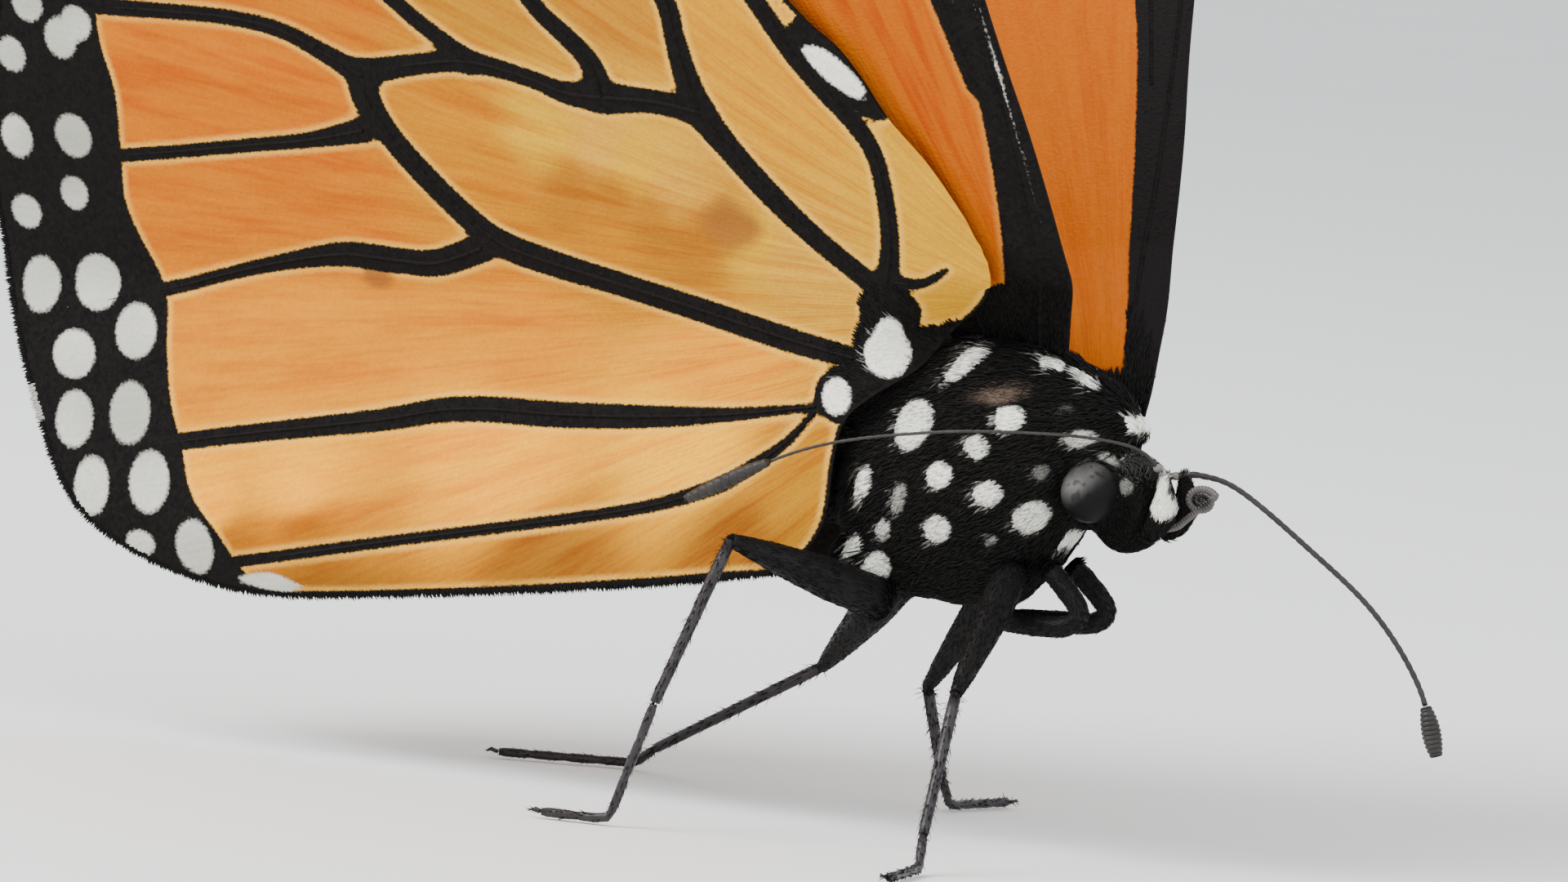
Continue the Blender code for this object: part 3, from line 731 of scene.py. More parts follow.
# each tone and where on the wing it is pure, for each wing above and below
hindUnderTones = (
    ((.60, .310, .012), ((0.4, 3.2), (-0.2, 5.4))),
    ((.60, .260, .006), ((-5.5, 8.0), (-8.0, 12.5))),
    ((.44, .172, .010), ((-12.0, 11.5), (-15.5, 18.0))),
    ((.43, .180, .009), ((-16.5, 11.5), (-22.0, 18.0))),
    ((.50, .120, .001), ((-24.0, 11.0), (-28.5, 14.5))),
    ((.62, .335, .010), ((-7.0, 2.2), (-11.5, 4.6), (-15.0, 5.5))),
    ((.50, .175, .002), ((-13.0, 2.2), (-18.5, 6.0), (-17.0, 3.6))),
    ((.37, .125, .006), ((-14.2, 3.7), (-12.7, 3.25), (-11.1, 2.75), (-9.6, 2.2))),
    ((.60, .300, .030), ((-13.0, 5.3), (-10.3, 4.1), (-6.2, 1.9))),
    ((.53, .118, .000), ((-25.5, 6.4), (-30.5, 6.2))),
    ((.53, .126, .000), ((-24.5, 2.2), (-30.0, 1.2))),
    ((.62, .200, .001), ((-17.0, -1.9), (-25.0, -3.6), (-29.0, -4.8))),
    ((.74, .270, .003), ((-9.0, -2.6),)),
    ((.95, .380, .003), ((-17.0, -7.0), (-25.0, -8.8), (-28.5, -9.8))),
    ((.95, .440, .007), ((-9.5, -5.6),)),
    # the strip below the third anal vein, painted darker as shade where the wing curves under
    ((.25, .082, .006), ((-7.5, -8.6), (-15.0, -10.4), (-24.0, -12.2))),
    ((.36, .105, .001), ((-27.6, -10.9), (-24.6, -10.2))),
    ((.40, .165, .006), ((-5.3, -6.2), (-5.0, -7.6))),
)
hindUpperTones = (
    ((.40, .072, .000), ((-8.0, 3.0), (-18.0, 4.0), (-26.0, 0.0), (-14.0, 14.0), (-26.0, 10.0))),
    ((.32, .085, .003), ((-12.0, -7.0), (-24.0, -9.0))),
)
foreUnderTones = (
    ((.42, .068, .000), ((3.0, 3.4), (8.0, 4.4), (16.0, 6.0), (12.0, 10.0), (22.0, 16.0))),
    ((.52, .145, .002), ((30.0, 12.0), (34.0, 14.0))),
)
foreUpperTones = (
    ((.44, .090, .000), ((3.0, 3.4), (8.0, 4.4), (16.0, 6.0), (12.0, 10.0), (22.0, 16.0))),
    ((.42, .080, .000), ((30.0, 12.0), (34.0, 14.0))),
)
wingTones = {"hind": (hindUpperTones, hindUnderTones), "fore": (foreUpperTones, foreUnderTones)}


def wingShader(name, tanWeight):
    s = Shade(name)
    plan, rays = s.uv("plan"), s.uv("rays")
    upper = s.field("upper")
    band, border, spot = s.field("band"), s.field("border"), s.field("spot")
    # ragged edges, a scale or two deep
    ragged = s.math("MULTIPLY", s.math("SUBTRACT", s.noise(plan, 420.0, 2.0), 0.5), 0.16)
    slim = s.math("MULTIPLY", upper, 0.06)
    dark = s.math("ADD", s.math("ADD", s.math("MINIMUM", band, border), ragged), slim)
    # base colour, streaked along the wing and grained by single scales
    streak = s.noise(s.scaled(rays, (34.0, 3.0, 1.0)), 1.0, 4.0, 0.6)
    fine = s.noise(s.scaled(rays, (150.0, 9.0, 1.0)), 1.0, 2.0, 0.5)
    tone = s.field("tone", colour=True)
    deep = s.mix(1.0, tone, (0.90, 0.74, 0.5), "MULTIPLY")
    pale = s.mix(0.06, tone, (1.0, 0.62, 0.02))
    body = s.mix(s.span(streak, 0.40, 0.70), pale, deep)
    body = s.mix(s.math("MULTIPLY", upper, 0.6), body, tone)
    body = s.mix(s.span(fine, 0.35, 0.75, 0.0, 0.16), body, (0.26, 0.062, 0.001))
    scales = s.cells(s.scaled(plan, (460.0, 330.0, 1.0)), 1.0)
    grain = s.add("ShaderNodeSeparateColor", {0: scales}, out=0)
    body = s.mix(s.span(grain, 0.0, 1.0, 0.0, 0.10, smooth=False), body, (0.18, 0.036, 0.001))
    # pale line along the bands on the underside
    rim = s.math("MULTIPLY", s.span(dark, 0.30, 0.02), s.math("SUBTRACT", 1.0, upper))
    rim = s.math("MULTIPLY", rim, s.span(streak, 0.25, 0.7, 0.35 * tanWeight, 0.8 * tanWeight))
    body = s.mix(rim, body, (0.80, 0.44, 0.07))
    smudge = s.field("smudge")
    body = s.mix(s.math("MULTIPLY", smudge, 0.85), body, (0.25, 0.080, 0.017))
    # black scales, and the white ones in them
    black = s.mix(grain, (0.0030, 0.0026, 0.0026), (0.0085, 0.0070, 0.0065))
    colour = s.mix(s.span(dark, 0.05, -0.05), body, black)
    dust = s.math("ADD", spot, s.math("MULTIPLY", ragged, 1.3))
    chalk = s.mix(grain, (0.72, 0.71, 0.64), (0.88, 0.87, 0.78))
    # the margin's spots are greyer than those near the root
    outward = s.add("ShaderNodeSeparateXYZ", {0: rays}, out=1)
    haze = s.span(s.noise(plan, 9.0, 1.0), 0.3, 0.7, 0.62, 1.0)
    haze = s.math("MULTIPLY", haze, s.span(outward, 0.9, 1.5))
    chalk = s.mix(haze, chalk, (0.36, 0.36, 0.31))
    colour = s.mix(s.span(dust, 0.07, -0.10), colour, chalk)
    rows = s.cells(s.scaled(plan, (460.0, 330.0, 1.0)), 1.0, out="Distance")
    lift = s.bump(rows, 0.00003, 0.55)
    lift = s.bump(fine, 0.00006, 0.5, over=lift)
    rough = s.span(grain, 0.0, 1.0, 0.55, 0.75, smooth=False)
    return s.set(Base_Color=colour, Roughness=rough, Normal=lift, Specular_IOR_Level=0.06)


# what lies where on a wing, by place in its own plane; flat's third column is the side
def wingFields(flat, kind):
    at = flat[:, :2]
    upper = (flat[:, 2] < 0).astype(float)
    byFace = lambda above, below: np.where(upper > 0, above, below)
    smudge = np.zeros(len(at))
    if kind == "hind":
        band = bandGap(at, hindVeins)
        band = np.minimum(band, dotGap(at, [(x, v, r, r) for x, v, r in hindRoot]))
        band = np.minimum(band, lineGap(at, smoothPath(hindCostalBlack, 4)))
        dusk = dotGap(at, [(x, v, r, r) for x, v, r in hindUpperRoot])
        band = byFace(np.minimum(band, dusk), band)
        border = -outlineGap(at, hindField)
        edge = -outlineGap(at, outlines["hind"]["rim"]) - wing["darkRim"]
        bare = (at > wing["rimStops"]).all(1)
        band = np.minimum(band, np.where(bare, clear, edge))
        dots = dotGap(at, hindDots + rowDots["hind"])
        inner = np.minimum(dotGap(at, hindRootSpots), lineGap(at, smoothPath(hindCostalSpot, 4)))
        inner = np.minimum(inner, lineGap(at, smoothPath(hindDash, 4)))
        dots = byFace(dots, np.minimum(dots, inner))
        *oval, firm = wing["scent"]
        scent = ovalReach(at, *oval) - 1
        band = byFace(np.minimum(band, scent * firm), band)
        for *oval, core in wing["smudges"]:
            r = ovalReach(at, *oval)
            r += wing["smudgeRagged"] * np.sin(3.1 * at[:, 0] + 2.0) * np.sin(2.7 * at[:, 1])
            smudge = np.maximum(smudge, 1 - smoothStep((r - core) / (wing["smudgeEnd"] - core)))
        smudge = smudge * (upper == 0)
    else:
        band = byFace(bandGap(at, foreUpperVeins), bandGap(at, foreVeins))
        band = np.minimum(band, at[:, 0] - byFace(*wing["foreRootBlack"]))
        border = -outlineGap(at, foreField)
        dots = dotGap(at, foreTipSpots + rowDots["fore"])
        pale = lineGap(at, smoothPath(forePaleEdge, 4))
        dots = byFace(dots, np.minimum(dots, pale))
    tone = np.where(upper[:, None] > 0, *(cellTone(at, tones) for tones in wingTones[kind]))
    spoke = at - np.array(wing["rayCentre"][kind])
    radius = np.hypot(*spoke.T)
    angle = np.arctan2(spoke[:, 1], -spoke[:, 0] if kind == "hind" else spoke[:, 0])
    return {"band": band, "border": border, "spot": dots, "smudge": smudge, "upper": upper,
            "tone": tone, "rays": np.column_stack((angle, radius / 20)), "plan": at / 50}


# raises the bands a little and lets the cells between them sag
def relief(flat, fields):
    out = flat.copy()
    away = np.sign(flat[:, 2])
    swell = smoothStep(-fields["band"] / wing["swellWidth"]) * wing["bandLift"]
    inPlate = np.abs(flat[:, 2]) < wing["half"] + 1e-6
    out[:, 2] += np.where(inPlate, away * swell, 0.0)
    width, depth = wing["sag"]
    full, height, across, along = wing["ripple"]
    wave = height * np.sin(fields["rays"][:, 0] * across + fields["rays"][:, 1] * along)
    out[:, 2] += smoothStep(fields["band"] / width) * depth + wave * smoothStep(fields["band"] / full)
    return out


def placeHind(flat, label):
    along, height, reach, tuck = wing["hindTuck"][label]
    near = 1 - smoothStep(np.hypot(flat[:, 0] - along, flat[:, 1] - height) / reach)
    x = flat[:, 0] + wing["rootShift"]["hind"] * near
    return onSheet(x, flat[:, 1], flat[:, 2] - tuck * near, sideOf[label])


def placeFore(flat, label):
    degrees, root = wing["forewingPose"][label]
    a = math.radians(degrees)
    near = 1 - smoothStep(flat[:, 0] / wing["rootLength"])
    out = flat[:, 0] - wing["rootStretch"][label] * near
    rise, fall, run = wing["bowRun"]
    bow = smoothStep(flat[:, 0] / rise) * (1 - smoothStep((flat[:, 0] - fall) / run))
    x = root[0] - out * math.sin(a) - flat[:, 1] * math.cos(a)
    x = x + wing["bow"][label] * bow + wing["rootShift"][label] * near
    v = root[1] + out * math.cos(a) - flat[:, 1] * math.sin(a)
    off = flat[:, 2] - wing["forewingInset"] - wing["rootTuck"][label] * near
    return onSheet(x, v, off, sideOf[label])


placers = {"hind": placeHind, "fore": placeFore}
outlines = {}
for kind, outline in (("hind", hindOutline), ("fore", foreOutline)):
    share = fringeShare(outline, kind)
    depth = wing["edgeInset"] + (wing["inset"] - wing["edgeInset"]) * share
    outlines[kind] = {"full": outline, "rim": insetOutline(outline, depth), "share": share}
# spots in rows: where a row starts and stops, the rows' depths, pitch and size
spotRows = {"hind": ((-11.5, 20.2), (-36.8, 9.0), (1.35, 3.3), 2.75, 0.6),
            "fore": ((49.0, 8.4), (27.5, 25.9), (1.0, 2.6), 2.3, 0.42)}
rowDots = {}
for kind, (start, stop, depths, pitch, size) in spotRows.items():
    outline = outlines[kind]["full"]
    start, stop = runAt(outline, *start), runAt(outline, *stop)
    rows = [marginDots(outline, start, stop, depth, pitch, size) for depth in depths]
    rowDots[kind] = tuple(sum(rows, []))


def buildWings():
    shaders = {"hind": wingShader("hindwingScales", 1.0), "fore": wingShader("forewingScales", 0.35)}
    for kind, veins in (("hind", hindVeins), ("fore", foreVeins)):
        bm = wingPlate(outlines[kind]["rim"])
        addVeins(bm, veins, outlines[kind]["rim"])
        bmesh.ops.recalc_face_normals(bm, faces=bm.faces[:])
        flat = np.array([v.co for v in bm.verts])
        fields = wingFields(flat, kind)
        shaped = relief(flat, fields)
        for label in sideOf:
            copy = bm.copy()
            if label == "left":
                bmesh.ops.reverse_faces(copy, faces=copy.faces[:])
            mesh = meshOf(f"{kind}wing_{label}_membrane", copy,
                          lambda _: toFrame(placers[kind](shaped, label)), sharp=50)
            for name in ("band", "border", "spot", "smudge", "upper"):
                addField(mesh, name, fields[name])
            addColour(mesh, "tone", fields["tone"])
            addMap(mesh, "plan", fields["plan"])
            addMap(mesh, "rays", fields["rays"])
            node = f"{kind}wing_{label}"
            finishPiece(f"{node}_membrane", mesh, shaders[kind], [node])
        bm.free()
        print(kind, "wings", len(flat), "points")


buildWings()


# tufts
# seven corners for each tuft: three at the root, three half way, one tip
def tuftCorners(root, normal, lie, length, width, lift, bend, sink=0.03, thick=0.4):
    across = np.cross(lie, normal)
    column = lambda a: np.broadcast_to(np.asarray(a, float), (len(root),))[:, None]
    length, width, lift, bend = map(column, (length, width, lift, bend))
    base = root - normal * sink
    first = lie * np.cos(lift) + normal * np.sin(lift)
    second = lie * np.cos(lift - bend) + normal * np.sin(lift - bend)
    middle = base + first * length * 0.45
    tip = middle + second * length * 0.55
    side, up = across * width / 2, normal * width * thick
    return np.stack((base - side, base + side, base + up, middle - side * 0.9,
                     middle + side * 0.9, middle + up * 0.9, tip), axis=1)


boxLow, boxHigh = (np.array(c) for c in cadBox)
boxMargin = 0.05 * mm
tuftFaces = ((0, 1, 2), (0, 3, 4, 1), (1, 4, 5, 2), (2, 5, 3, 0), (3, 6, 4), (4, 6, 5), (5, 6, 3))
halfPatch = 0.0015
tuftPatch = np.array(((-1, -1), (1, -1), (0, -1), (-1, 0), (1, 0), (0, 0), (0, 1))) * halfPatch


# one joined mesh of all the tufts, each a small patch of the map at its root's place
def tuftMesh(name, corners, unwrap, fields):
    n = len(corners)
    mesh = bpy.data.meshes.new(name)
    mesh.vertices.add(n * 7)
    placed = np.clip(toFrame(corners.reshape(-1, 3)), boxLow + boxMargin, boxHigh - boxMargin)
    mesh.vertices.foreach_set("co", placed.astype(np.float32).ravel())
    one = np.concatenate([np.array(f) for f in tuftFaces])
    sizes = np.array([len(f) for f in tuftFaces])
    loops = (np.arange(n)[:, None] * 7 + one).ravel()
    totals = np.tile(sizes, n)
    mesh.loops.add(len(loops))
    mesh.loops.foreach_set("vertex_index", loops.astype(np.int32))
    mesh.polygons.add(len(totals))
    mesh.polygons.foreach_set("loop_start", (np.cumsum(totals) - totals).astype(np.int32))
    mesh.update(calc_edges=True)
    uv = (np.clip(unwrap, 2 * halfPatch, 1 - 2 * halfPatch)[:, None, :] + tuftPatch).reshape(-1, 2)
    mesh.uv_layers.new(name="OFBake").data.foreach_set("uv", uv[loops].astype(np.float32).ravel())
    for key, values in fields.items():
        addField(mesh, key, np.repeat(values, 7))
    addField(mesh, "tip", np.tile((0, 0, 0, .5, .5, .5, 1), n))
    mesh.shade_smooth()
    return mesh


# a finished coat; the fields are one value for each tuft or one for all
def finishCoat(name, corners, unwrap, fur, mark, bright, bare=0.0):
    n = len(corners)
    fields = {"mark": mark, "bright": bright, "bare": bare, "shade": draws.random(n)}
    fields = {key: np.broadcast_to(values, n) for key, values in fields.items()}
    finishPiece(name, tuftMesh(name, corners, unwrap, fields), fur)
    print(name, n, "tufts")


# corners of its triangles and the normals there, in body millimetres
def meshArrays(mesh):
    mesh.calc_loop_triangles()
    tri = readAll(mesh.loop_triangles, "vertices", kind=np.int32)
    co, no = readAll(mesh.vertices, "co"), readAll(mesh.vertex_normals, "vector")
    return tri.reshape(-1, 3), co.reshape(-1, 3) / mm - np.array(bodyZero), no.reshape(-1, 3)


# places spread evenly over a mesh, with the normals there
def scatter(mesh, count, keep=None):
    tri, co, no = meshArrays(mesh)
    a, b, c = (co[tri[:, k]] for k in range(3))
    area = np.linalg.norm(np.cross(b - a, c - a), axis=1)
    if keep is not None:
        area = area * keep((a + b + c) / 3)
    run = np.cumsum(area)
    pick = np.searchsorted(run, (np.arange(count) + draws.random(count)) / count * run[-1])
    pick = pick.clip(0, len(tri) - 1)
    s, t = np.sqrt(draws.random(count)), draws.random(count)
    share = np.stack((1 - s, s * (1 - t), s * t), axis=1)[:, :, None]
    return (co[tri[pick]] * share).sum(1), unit((no[tri[pick]] * share).sum(1))


# the direction laid flat on the surface, a little unruly
def lieAlong(normal, direction, stray=0.25):
    d = direction + draws.normal(0, stray, normal.shape)
    return unit(d - normal * (d * normal).sum(1, keepdims=True))


# the one skin
skin = {
    "voxel": 0.15,
    "depthAbdomen": 0.2, "depthThorax": 0.36, "depthHead": 0.26,   # how far it lies inside the solids
    # centres and half sizes of what fills the necks between them
    "fill": (((-4.8, 0.0, -2.9), (1.5, 1.6, 1.8)), ((5.0, 0.0, -2.2), (1.5, 1.3, 1.5)),
             ((5.12, 1.15, -2.36), (1.42, .85, 1.42)), ((5.12, -1.15, -2.36), (1.42, .85, 1.42)),
             ((5.6, .5, -.15), (.95, .7, .75)), ((5.6, -.5, -.15), (.95, .7, .75)),
             ((-3.2, 1.2, -5.6), (1.4, 1.1, 1.4)), ((-3.2, -1.2, -5.6), (1.4, 1.1, 1.4))),
    "waist": (-5.2, 3.4), "neck": (4.4, 1.4),                      # where the depth changes: from, over
    "grooves": 8, "groovesFrom": -4.95, "groovesLength": 19.6,     # belts of the abdomen
    "grooveWidth": 0.16, "grooveDepth": 0.11, "overlap": 0.1,
    "mapMiddle": -2.5, "mapTail": 25.0, "mapLength": 33.5,         # the unwrap round the body
    "tailFrom": -20.6, "tailLength": 3.8, "tailNarrow": 0.45,
    "markShift": -0.12,       # the marks' places are for the solids, which stand further out
    "markReach": 1.1,         # a mark ends this far off its own plane
    "headCentre": (5.95, 0, -2.75), "headRadii": (1.75, 1.75, 1.9), "headFrom": 4.6,
}
# white marks on the body, by their place seen from the side: along, height, half length,
# half width, turn in degrees, brightness; every mark is on both sides
bodyMarks = (
    (.5, 1.78, 1.2, .40, 62, 1.0), (3.34, 1.88, .48, .48, 40, 1.0), (4.55, 1.42, .5, .32, -34, .95),
    (-1.12, -.62, .95, .72, 70, .85), (2.42, -.04, .55, .48, 20, 1.0), (1.41, -1.14, .5, .4, -35, .8),
    (4.78, -.52, .6, .3, 8, .5), (6.32, .12, .32, .3, 0, 1.0), (-3.0, -2.89, .68, .36, 80, .9),
    (-1.44, -3.22, .66, .28, 82, .3), (.11, -2.25, .52, .5, 30, 1.0), (3.64, -1.75, .3, .3, 0, .13),
    (1.93, -2.7, .54, .46, 10, .85), (3.42, -3.37, .7, .56, 25, .7), (.13, -4.13, .54, .52, 0, .8),
    (2.11, -4.31, .25, .24, 0, .2), (-2.06, -4.44, .44, .34, 80, .5), (-3.35, -5.1, .55, .38, 80, .8),
    (-2.42, -5.86, .8, .5, 68, .9), (4.22, -4.24, .5, .34, 80, .85), (4.2, .45, .26, .22, 0, .05),
)
headMarks = ((6.4, -2.02, .26, .32, 0, .18), (5.75, -1.2, .5, .2, 0, .4), (6.38, -1.12, .42, .2, 0, .5),
             (4.8, -1.6, .5, .22, 55, .08))
bellyMarks = tuple((-6.3 - 2.45 * k, -3.75 - 0.008 * (2.45 * k) ** 1.6, .42 - .03 * k, .2, 0, .22)
                   for k in range(7))
barePatch = (2.0, .78, .95, .34, 12)


def skinDepth(x):
    waist, neck = (smoothStep((x - skin[key][0]) / skin[key][1]) for key in ("waist", "neck"))
    depth = skin["depthAbdomen"] + (skin["depthThorax"] - skin["depthAbdomen"]) * waist
    return depth + (skin["depthHead"] - skin["depthThorax"]) * neck


def buildSkin():
    bm = bmesh.new()
    for node in ("thorax", "head", "abdomen"):
        bm.from_mesh(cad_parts[node].data)
    bmesh.ops.scale(bm, vec=(1 / mm,) * 3, verts=bm.verts[:])
    bmesh.ops.translate(bm, vec=-bodyZero, verts=bm.verts[:])
    bmesh.ops.remove_doubles(bm, verts=bm.verts[:], dist=1e-3)
    for centre, radii in skin["fill"]:
        addBall(bm, centre, radii, 3)
    mesh = bpy.data.meshes.new("skinSource")
    bm.to_mesh(mesh)
    bm.free()
    source = newObject("skinSource", mesh)
    melt = source.modifiers.new("melt", "REMESH")
    melt.mode, melt.voxel_size = "VOXEL", skin["voxel"]
    deps = bpy.context.evaluated_depsgraph_get()
    fused = bpy.data.meshes.new_from_object(source.evaluated_get(deps))
    bpy.data.objects.remove(source)
    bm = bmesh.new()
    bm.from_mesh(fused)
    bm.normal_update()
    xs = np.array([v.co.x for v in bm.verts])
    for v, depth in zip(bm.verts, skinDepth(xs)):
        v.co -= v.normal * float(depth)
    for _ in range(5):
        bmesh.ops.smooth_vert(bm, verts=bm.verts[:], factor=0.5, use_axis_x=True,
                              use_axis_y=True, use_axis_z=True)
    # the tail end narrows
    tail = [v for v in bm.verts if v.co.x < skin["tailFrom"]]
    middle = sum(v.co.z for v in tail) / len(tail)
    for v in tail:
        narrow = 1 - skin["tailNarrow"] * smoothStep((skin["tailFrom"] - v.co.x) / skin["tailLength"])
        v.co.y *= narrow
        v.co.z = middle + (v.co.z - middle) * narrow
    # belts of the abdomen
    for v in bm.verts:
        t = (skin["groovesFrom"] - v.co.x) / skin["groovesLength"] * skin["grooves"]
        if 0.4 < t < skin["grooves"] - 0.4:
            dip = max(0.0, 1 - abs(t - round(t)) / skin["grooveWidth"])
            over = max(0.0, 0.25 - (t - math.floor(t))) * 0.4
            v.co -= v.normal * (skin["grooveDepth"] * dip * dip - skin["overlap"] * over)
    bmesh.ops.recalc_face_normals(bm, faces=bm.faces[:])
    return meshOf("body_skin", bm)


# the marks' centres and normals on the skin, found from the side
def markPlaces(mesh):
    tri, co, _ = meshArrays(mesh)
    tree = BVHTree.FromPolygons([Vector(p) for p in co], [tuple(t) for t in tri])
    found = []
    for marks in (bodyMarks, headMarks, bellyMarks):
        for x, z, a, b, turn, bright in marks:
            for side in (-1, 1):
                eye = Vector((x + skin["markShift"], side * 9, z))
                at, normal, *_ = tree.ray_cast(eye, Vector((0, -side, 0)))
                if at is None:
                    at = Vector((x, side * 0.3, z))
                    normal = Vector((0.3, side, 0)).normalized()
                found.append((at, normal, a, b, turn, bright))
    return found


# signed distance to the nearest white mark, and that mark's brightness
def markGap(points, places):
    best = np.full(len(points), clear)
    bright = np.zeros(len(points))
    for at, normal, a, b, turn, shine in places:
        lean = math.radians(turn)
        along = Vector((math.cos(lean), 0, math.sin(lean)))
        along = (along - normal * along.dot(normal)).normalized()
        over = normal.cross(along)
        d = points - np.array(at)
        q = np.hypot(d @ np.array(along) / a, d @ np.array(over) / b)
        far = np.abs(d @ np.array(normal)) > skin["markReach"]
        gap = np.where(far, clear, (q - 1) * b)
        bright = np.where(gap < best, shine, bright)
        best = np.minimum(best, gap)
    return best, bright


# round the body and along it, from tail to head
def unwrapBody(p):
    return np.column_stack((np.arctan2(p[:, 1], p[:, 2] - skin["mapMiddle"]) / (2 * math.pi) + 0.5,
                            (p[:, 0] + skin["mapTail"]) / skin["mapLength"]))


def bodyShader(name, tufts):
    s = Shade(name)
    at = s.place()
    patch = s.noise(at, 900.0, 3.0)
    speck = s.noise(at, 5200.0, 2.0)
    ragged = s.math("MULTIPLY", s.math("SUBTRACT", s.noise(at, 3600.0, 2.0), 0.5), 0.10)
    mark = s.math("ADD", s.field("mark"), ragged)
    bright = s.field("bright")
    black = s.mix(patch, (0.0026, 0.0025, 0.0024), (0.0060, 0.0054, 0.0050))
    black = s.mix(s.math("MULTIPLY", s.field("bare"), 0.6), black, (0.16, 0.110, 0.082))
    chalk = s.mix(speck, (0.74, 0.73, 0.65), (0.90, 0.89, 0.82))
    chalk = s.mix(bright, (0.010, 0.010, 0.010), chalk)
    if tufts:
        tip = s.field("tip")
        black = s.mix(s.math("MULTIPLY", s.field("shade"), tip), black, (0.012, 0.011, 0.010))
    colour = s.mix(s.span(mark, 0.06, -0.10), black, chalk)
    s.set(Base_Color=colour, Roughness=0.6, Specular_IOR_Level=0.07)
    if not tufts:
        s.set(Normal=s.bump(speck, 0.00004, 0.6))
    return s.mat


def buildBody():
    mesh = buildSkin()
    places = markPlaces(mesh)
    _, co, _ = meshArrays(mesh)
    gap, bright = markGap(co, places)
    addField(mesh, "mark", gap)
    addField(mesh, "bright", bright)
    addField(mesh, "bare", bareness(co))
    hide = bodyShader("bodySkin", tufts=False)
    finishPiece("body_skin", mesh, hide, ["thorax", "head", "abdomen"])
    fur = bodyShader("bodyTufts", tufts=True)
    print("skin", len(mesh.polygons), "faces")
    for label, coat in coats.items():
        root, normal = scatter(mesh, coat["count"], coat["where"])
        gap, bright = markGap(root, places)
        white = gap < 0.02
        lie = lieAlong(normal, coat["lie"](root), coat["stray"])
        n = len(root)
        length = coat["length"](root) * draws.uniform(0.7, 1.25, n) * np.where(white, 0.72, 1.0)
        # hairs that would run over a mark's edge are cut short
        if "grey" in coat:
            gap, bright = np.full(n, -1.0), coat["grey"] * draws.uniform(0.3, 1.6, n)
        reach, _ = markGap(root + lie * length[:, None] * 0.85, places)
        length *= np.where((reach < 0) != (gap < 0), 0.45, 1.0)
        width = coat["width"] * draws.uniform(0.7, 1.3, n) * np.where(white, 1.5, 1.0)
        lift = np.radians(coat["lift"]) * draws.uniform(0.5, 1.5, n) * np.where(white, 0.75, 1.0)
        bare = bareness(root)
        length *= 1 - 0.6 * bare
        corners = tuftCorners(root, normal, lie, length, width, lift, lift * 1.1)
        finishCoat(f"coat_{label}", corners, unwrapBody(root), fur, gap, bright, bare)


def bareness(p):
    x, z, a, b, turn = barePatch
    t = math.radians(turn)
    dx, dz = p[:, 0] - x, p[:, 2] - z
    q = np.hypot((dx * math.cos(t) + dz * math.sin(t)) / a, (dz * math.cos(t) - dx * math.sin(t)) / b)
    return 1 - smoothStep((q - 0.6) / 0.8)


# backwards over the top, back and down on the flanks
def thoraxLie(p):
    low = smoothStep((-p[:, 2] + 1.5) / 5.0)
    return np.column_stack((-np.ones(len(p)), 0.15 * p[:, 1], -0.15 - 0.55 * low))


# forwards and up on the face, back over the crown
def headLie(p):
    crown = smoothStep((p[:, 2] + 2.2) / 1.2)
    face = smoothStep((p[:, 0] - 6.2) / 1.0)
    return np.column_stack((-0.8 * crown + 0.5 * face, 0.1 * p[:, 1], 0.25 + 0.6 * face))


# longest over the back, on the shoulders under the wings, and at the rear end
def thoraxLength(p):
    return 0.56 + 0.45 * smoothStep(p[:, 2] / 2.5) + 0.5 * smoothStep((-p[:, 0] - 2.2) / 1.5)


def onThorax(p):
    return (p[:, 0] > skin["waist"][0]) & (p[:, 0] < 7.0) & (onHead(p) == 0)


def onHead(p):
    q = (p - np.array(skin["headCentre"])) / np.array(skin["headRadii"])
    return ((q ** 2).sum(1) < 1) & (p[:, 0] > skin["headFrom"])


# the grey tuft between the feelers
def onCrown(p):
    share = (1.2 - np.hypot(p[:, 0] - 6.8, p[:, 1] * 0.6)).clip(0, 1)
    return onHead(p) * share * (p[:, 2] + 2.0).clip(0, 1)


def crownLie(p):
    return np.column_stack((0.5 * (p[:, 0] - 6.6), p[:, 1] * 0.5, p[:, 2] + 3))


thoraxCoat = {"count": 19900, "lie": thoraxLie, "stray": 0.22, "width": 0.075, "lift": 17.0,
              "length": thoraxLength}
# where is each place's share, lift is in degrees, grey is for a coat without marks
coats = {
    "thorax_right": {**thoraxCoat, "where": lambda p: onThorax(p) * (p[:, 1] < 0)},
    "thorax_left": {**thoraxCoat, "where": lambda p: onThorax(p) * (p[:, 1] >= 0)},
    "head": {
        "count": 9000, "where": lambda p: onHead(p) * 1.0,
        "lie": headLie, "stray": 0.28, "width": 0.05, "lift": 22.0,
        "length": lambda p: 0.34 + 0.12 * smoothStep((p[:, 2] + 1.8) / 0.8)},
    "crown": {
        "count": 1100, "where": onCrown, "lie": crownLie, "stray": 0.5, "width": 0.035,
        "lift": 58.0, "length": lambda p: 0.7 + 0 * p[:, 0], "grey": 0.04},
    "abdomen": {
        "count": 18000, "where": lambda p: (p[:, 0] <= skin["waist"][0]) * 1.0,
        "lie": lambda p: np.tile((-1.0, 0.0, 0.0), (len(p), 1)), "stray": 0.12,
        "width": 0.09, "lift": 9.0, "length": lambda p: 0.36 + 0 * p[:, 0]},
}
buildBody()

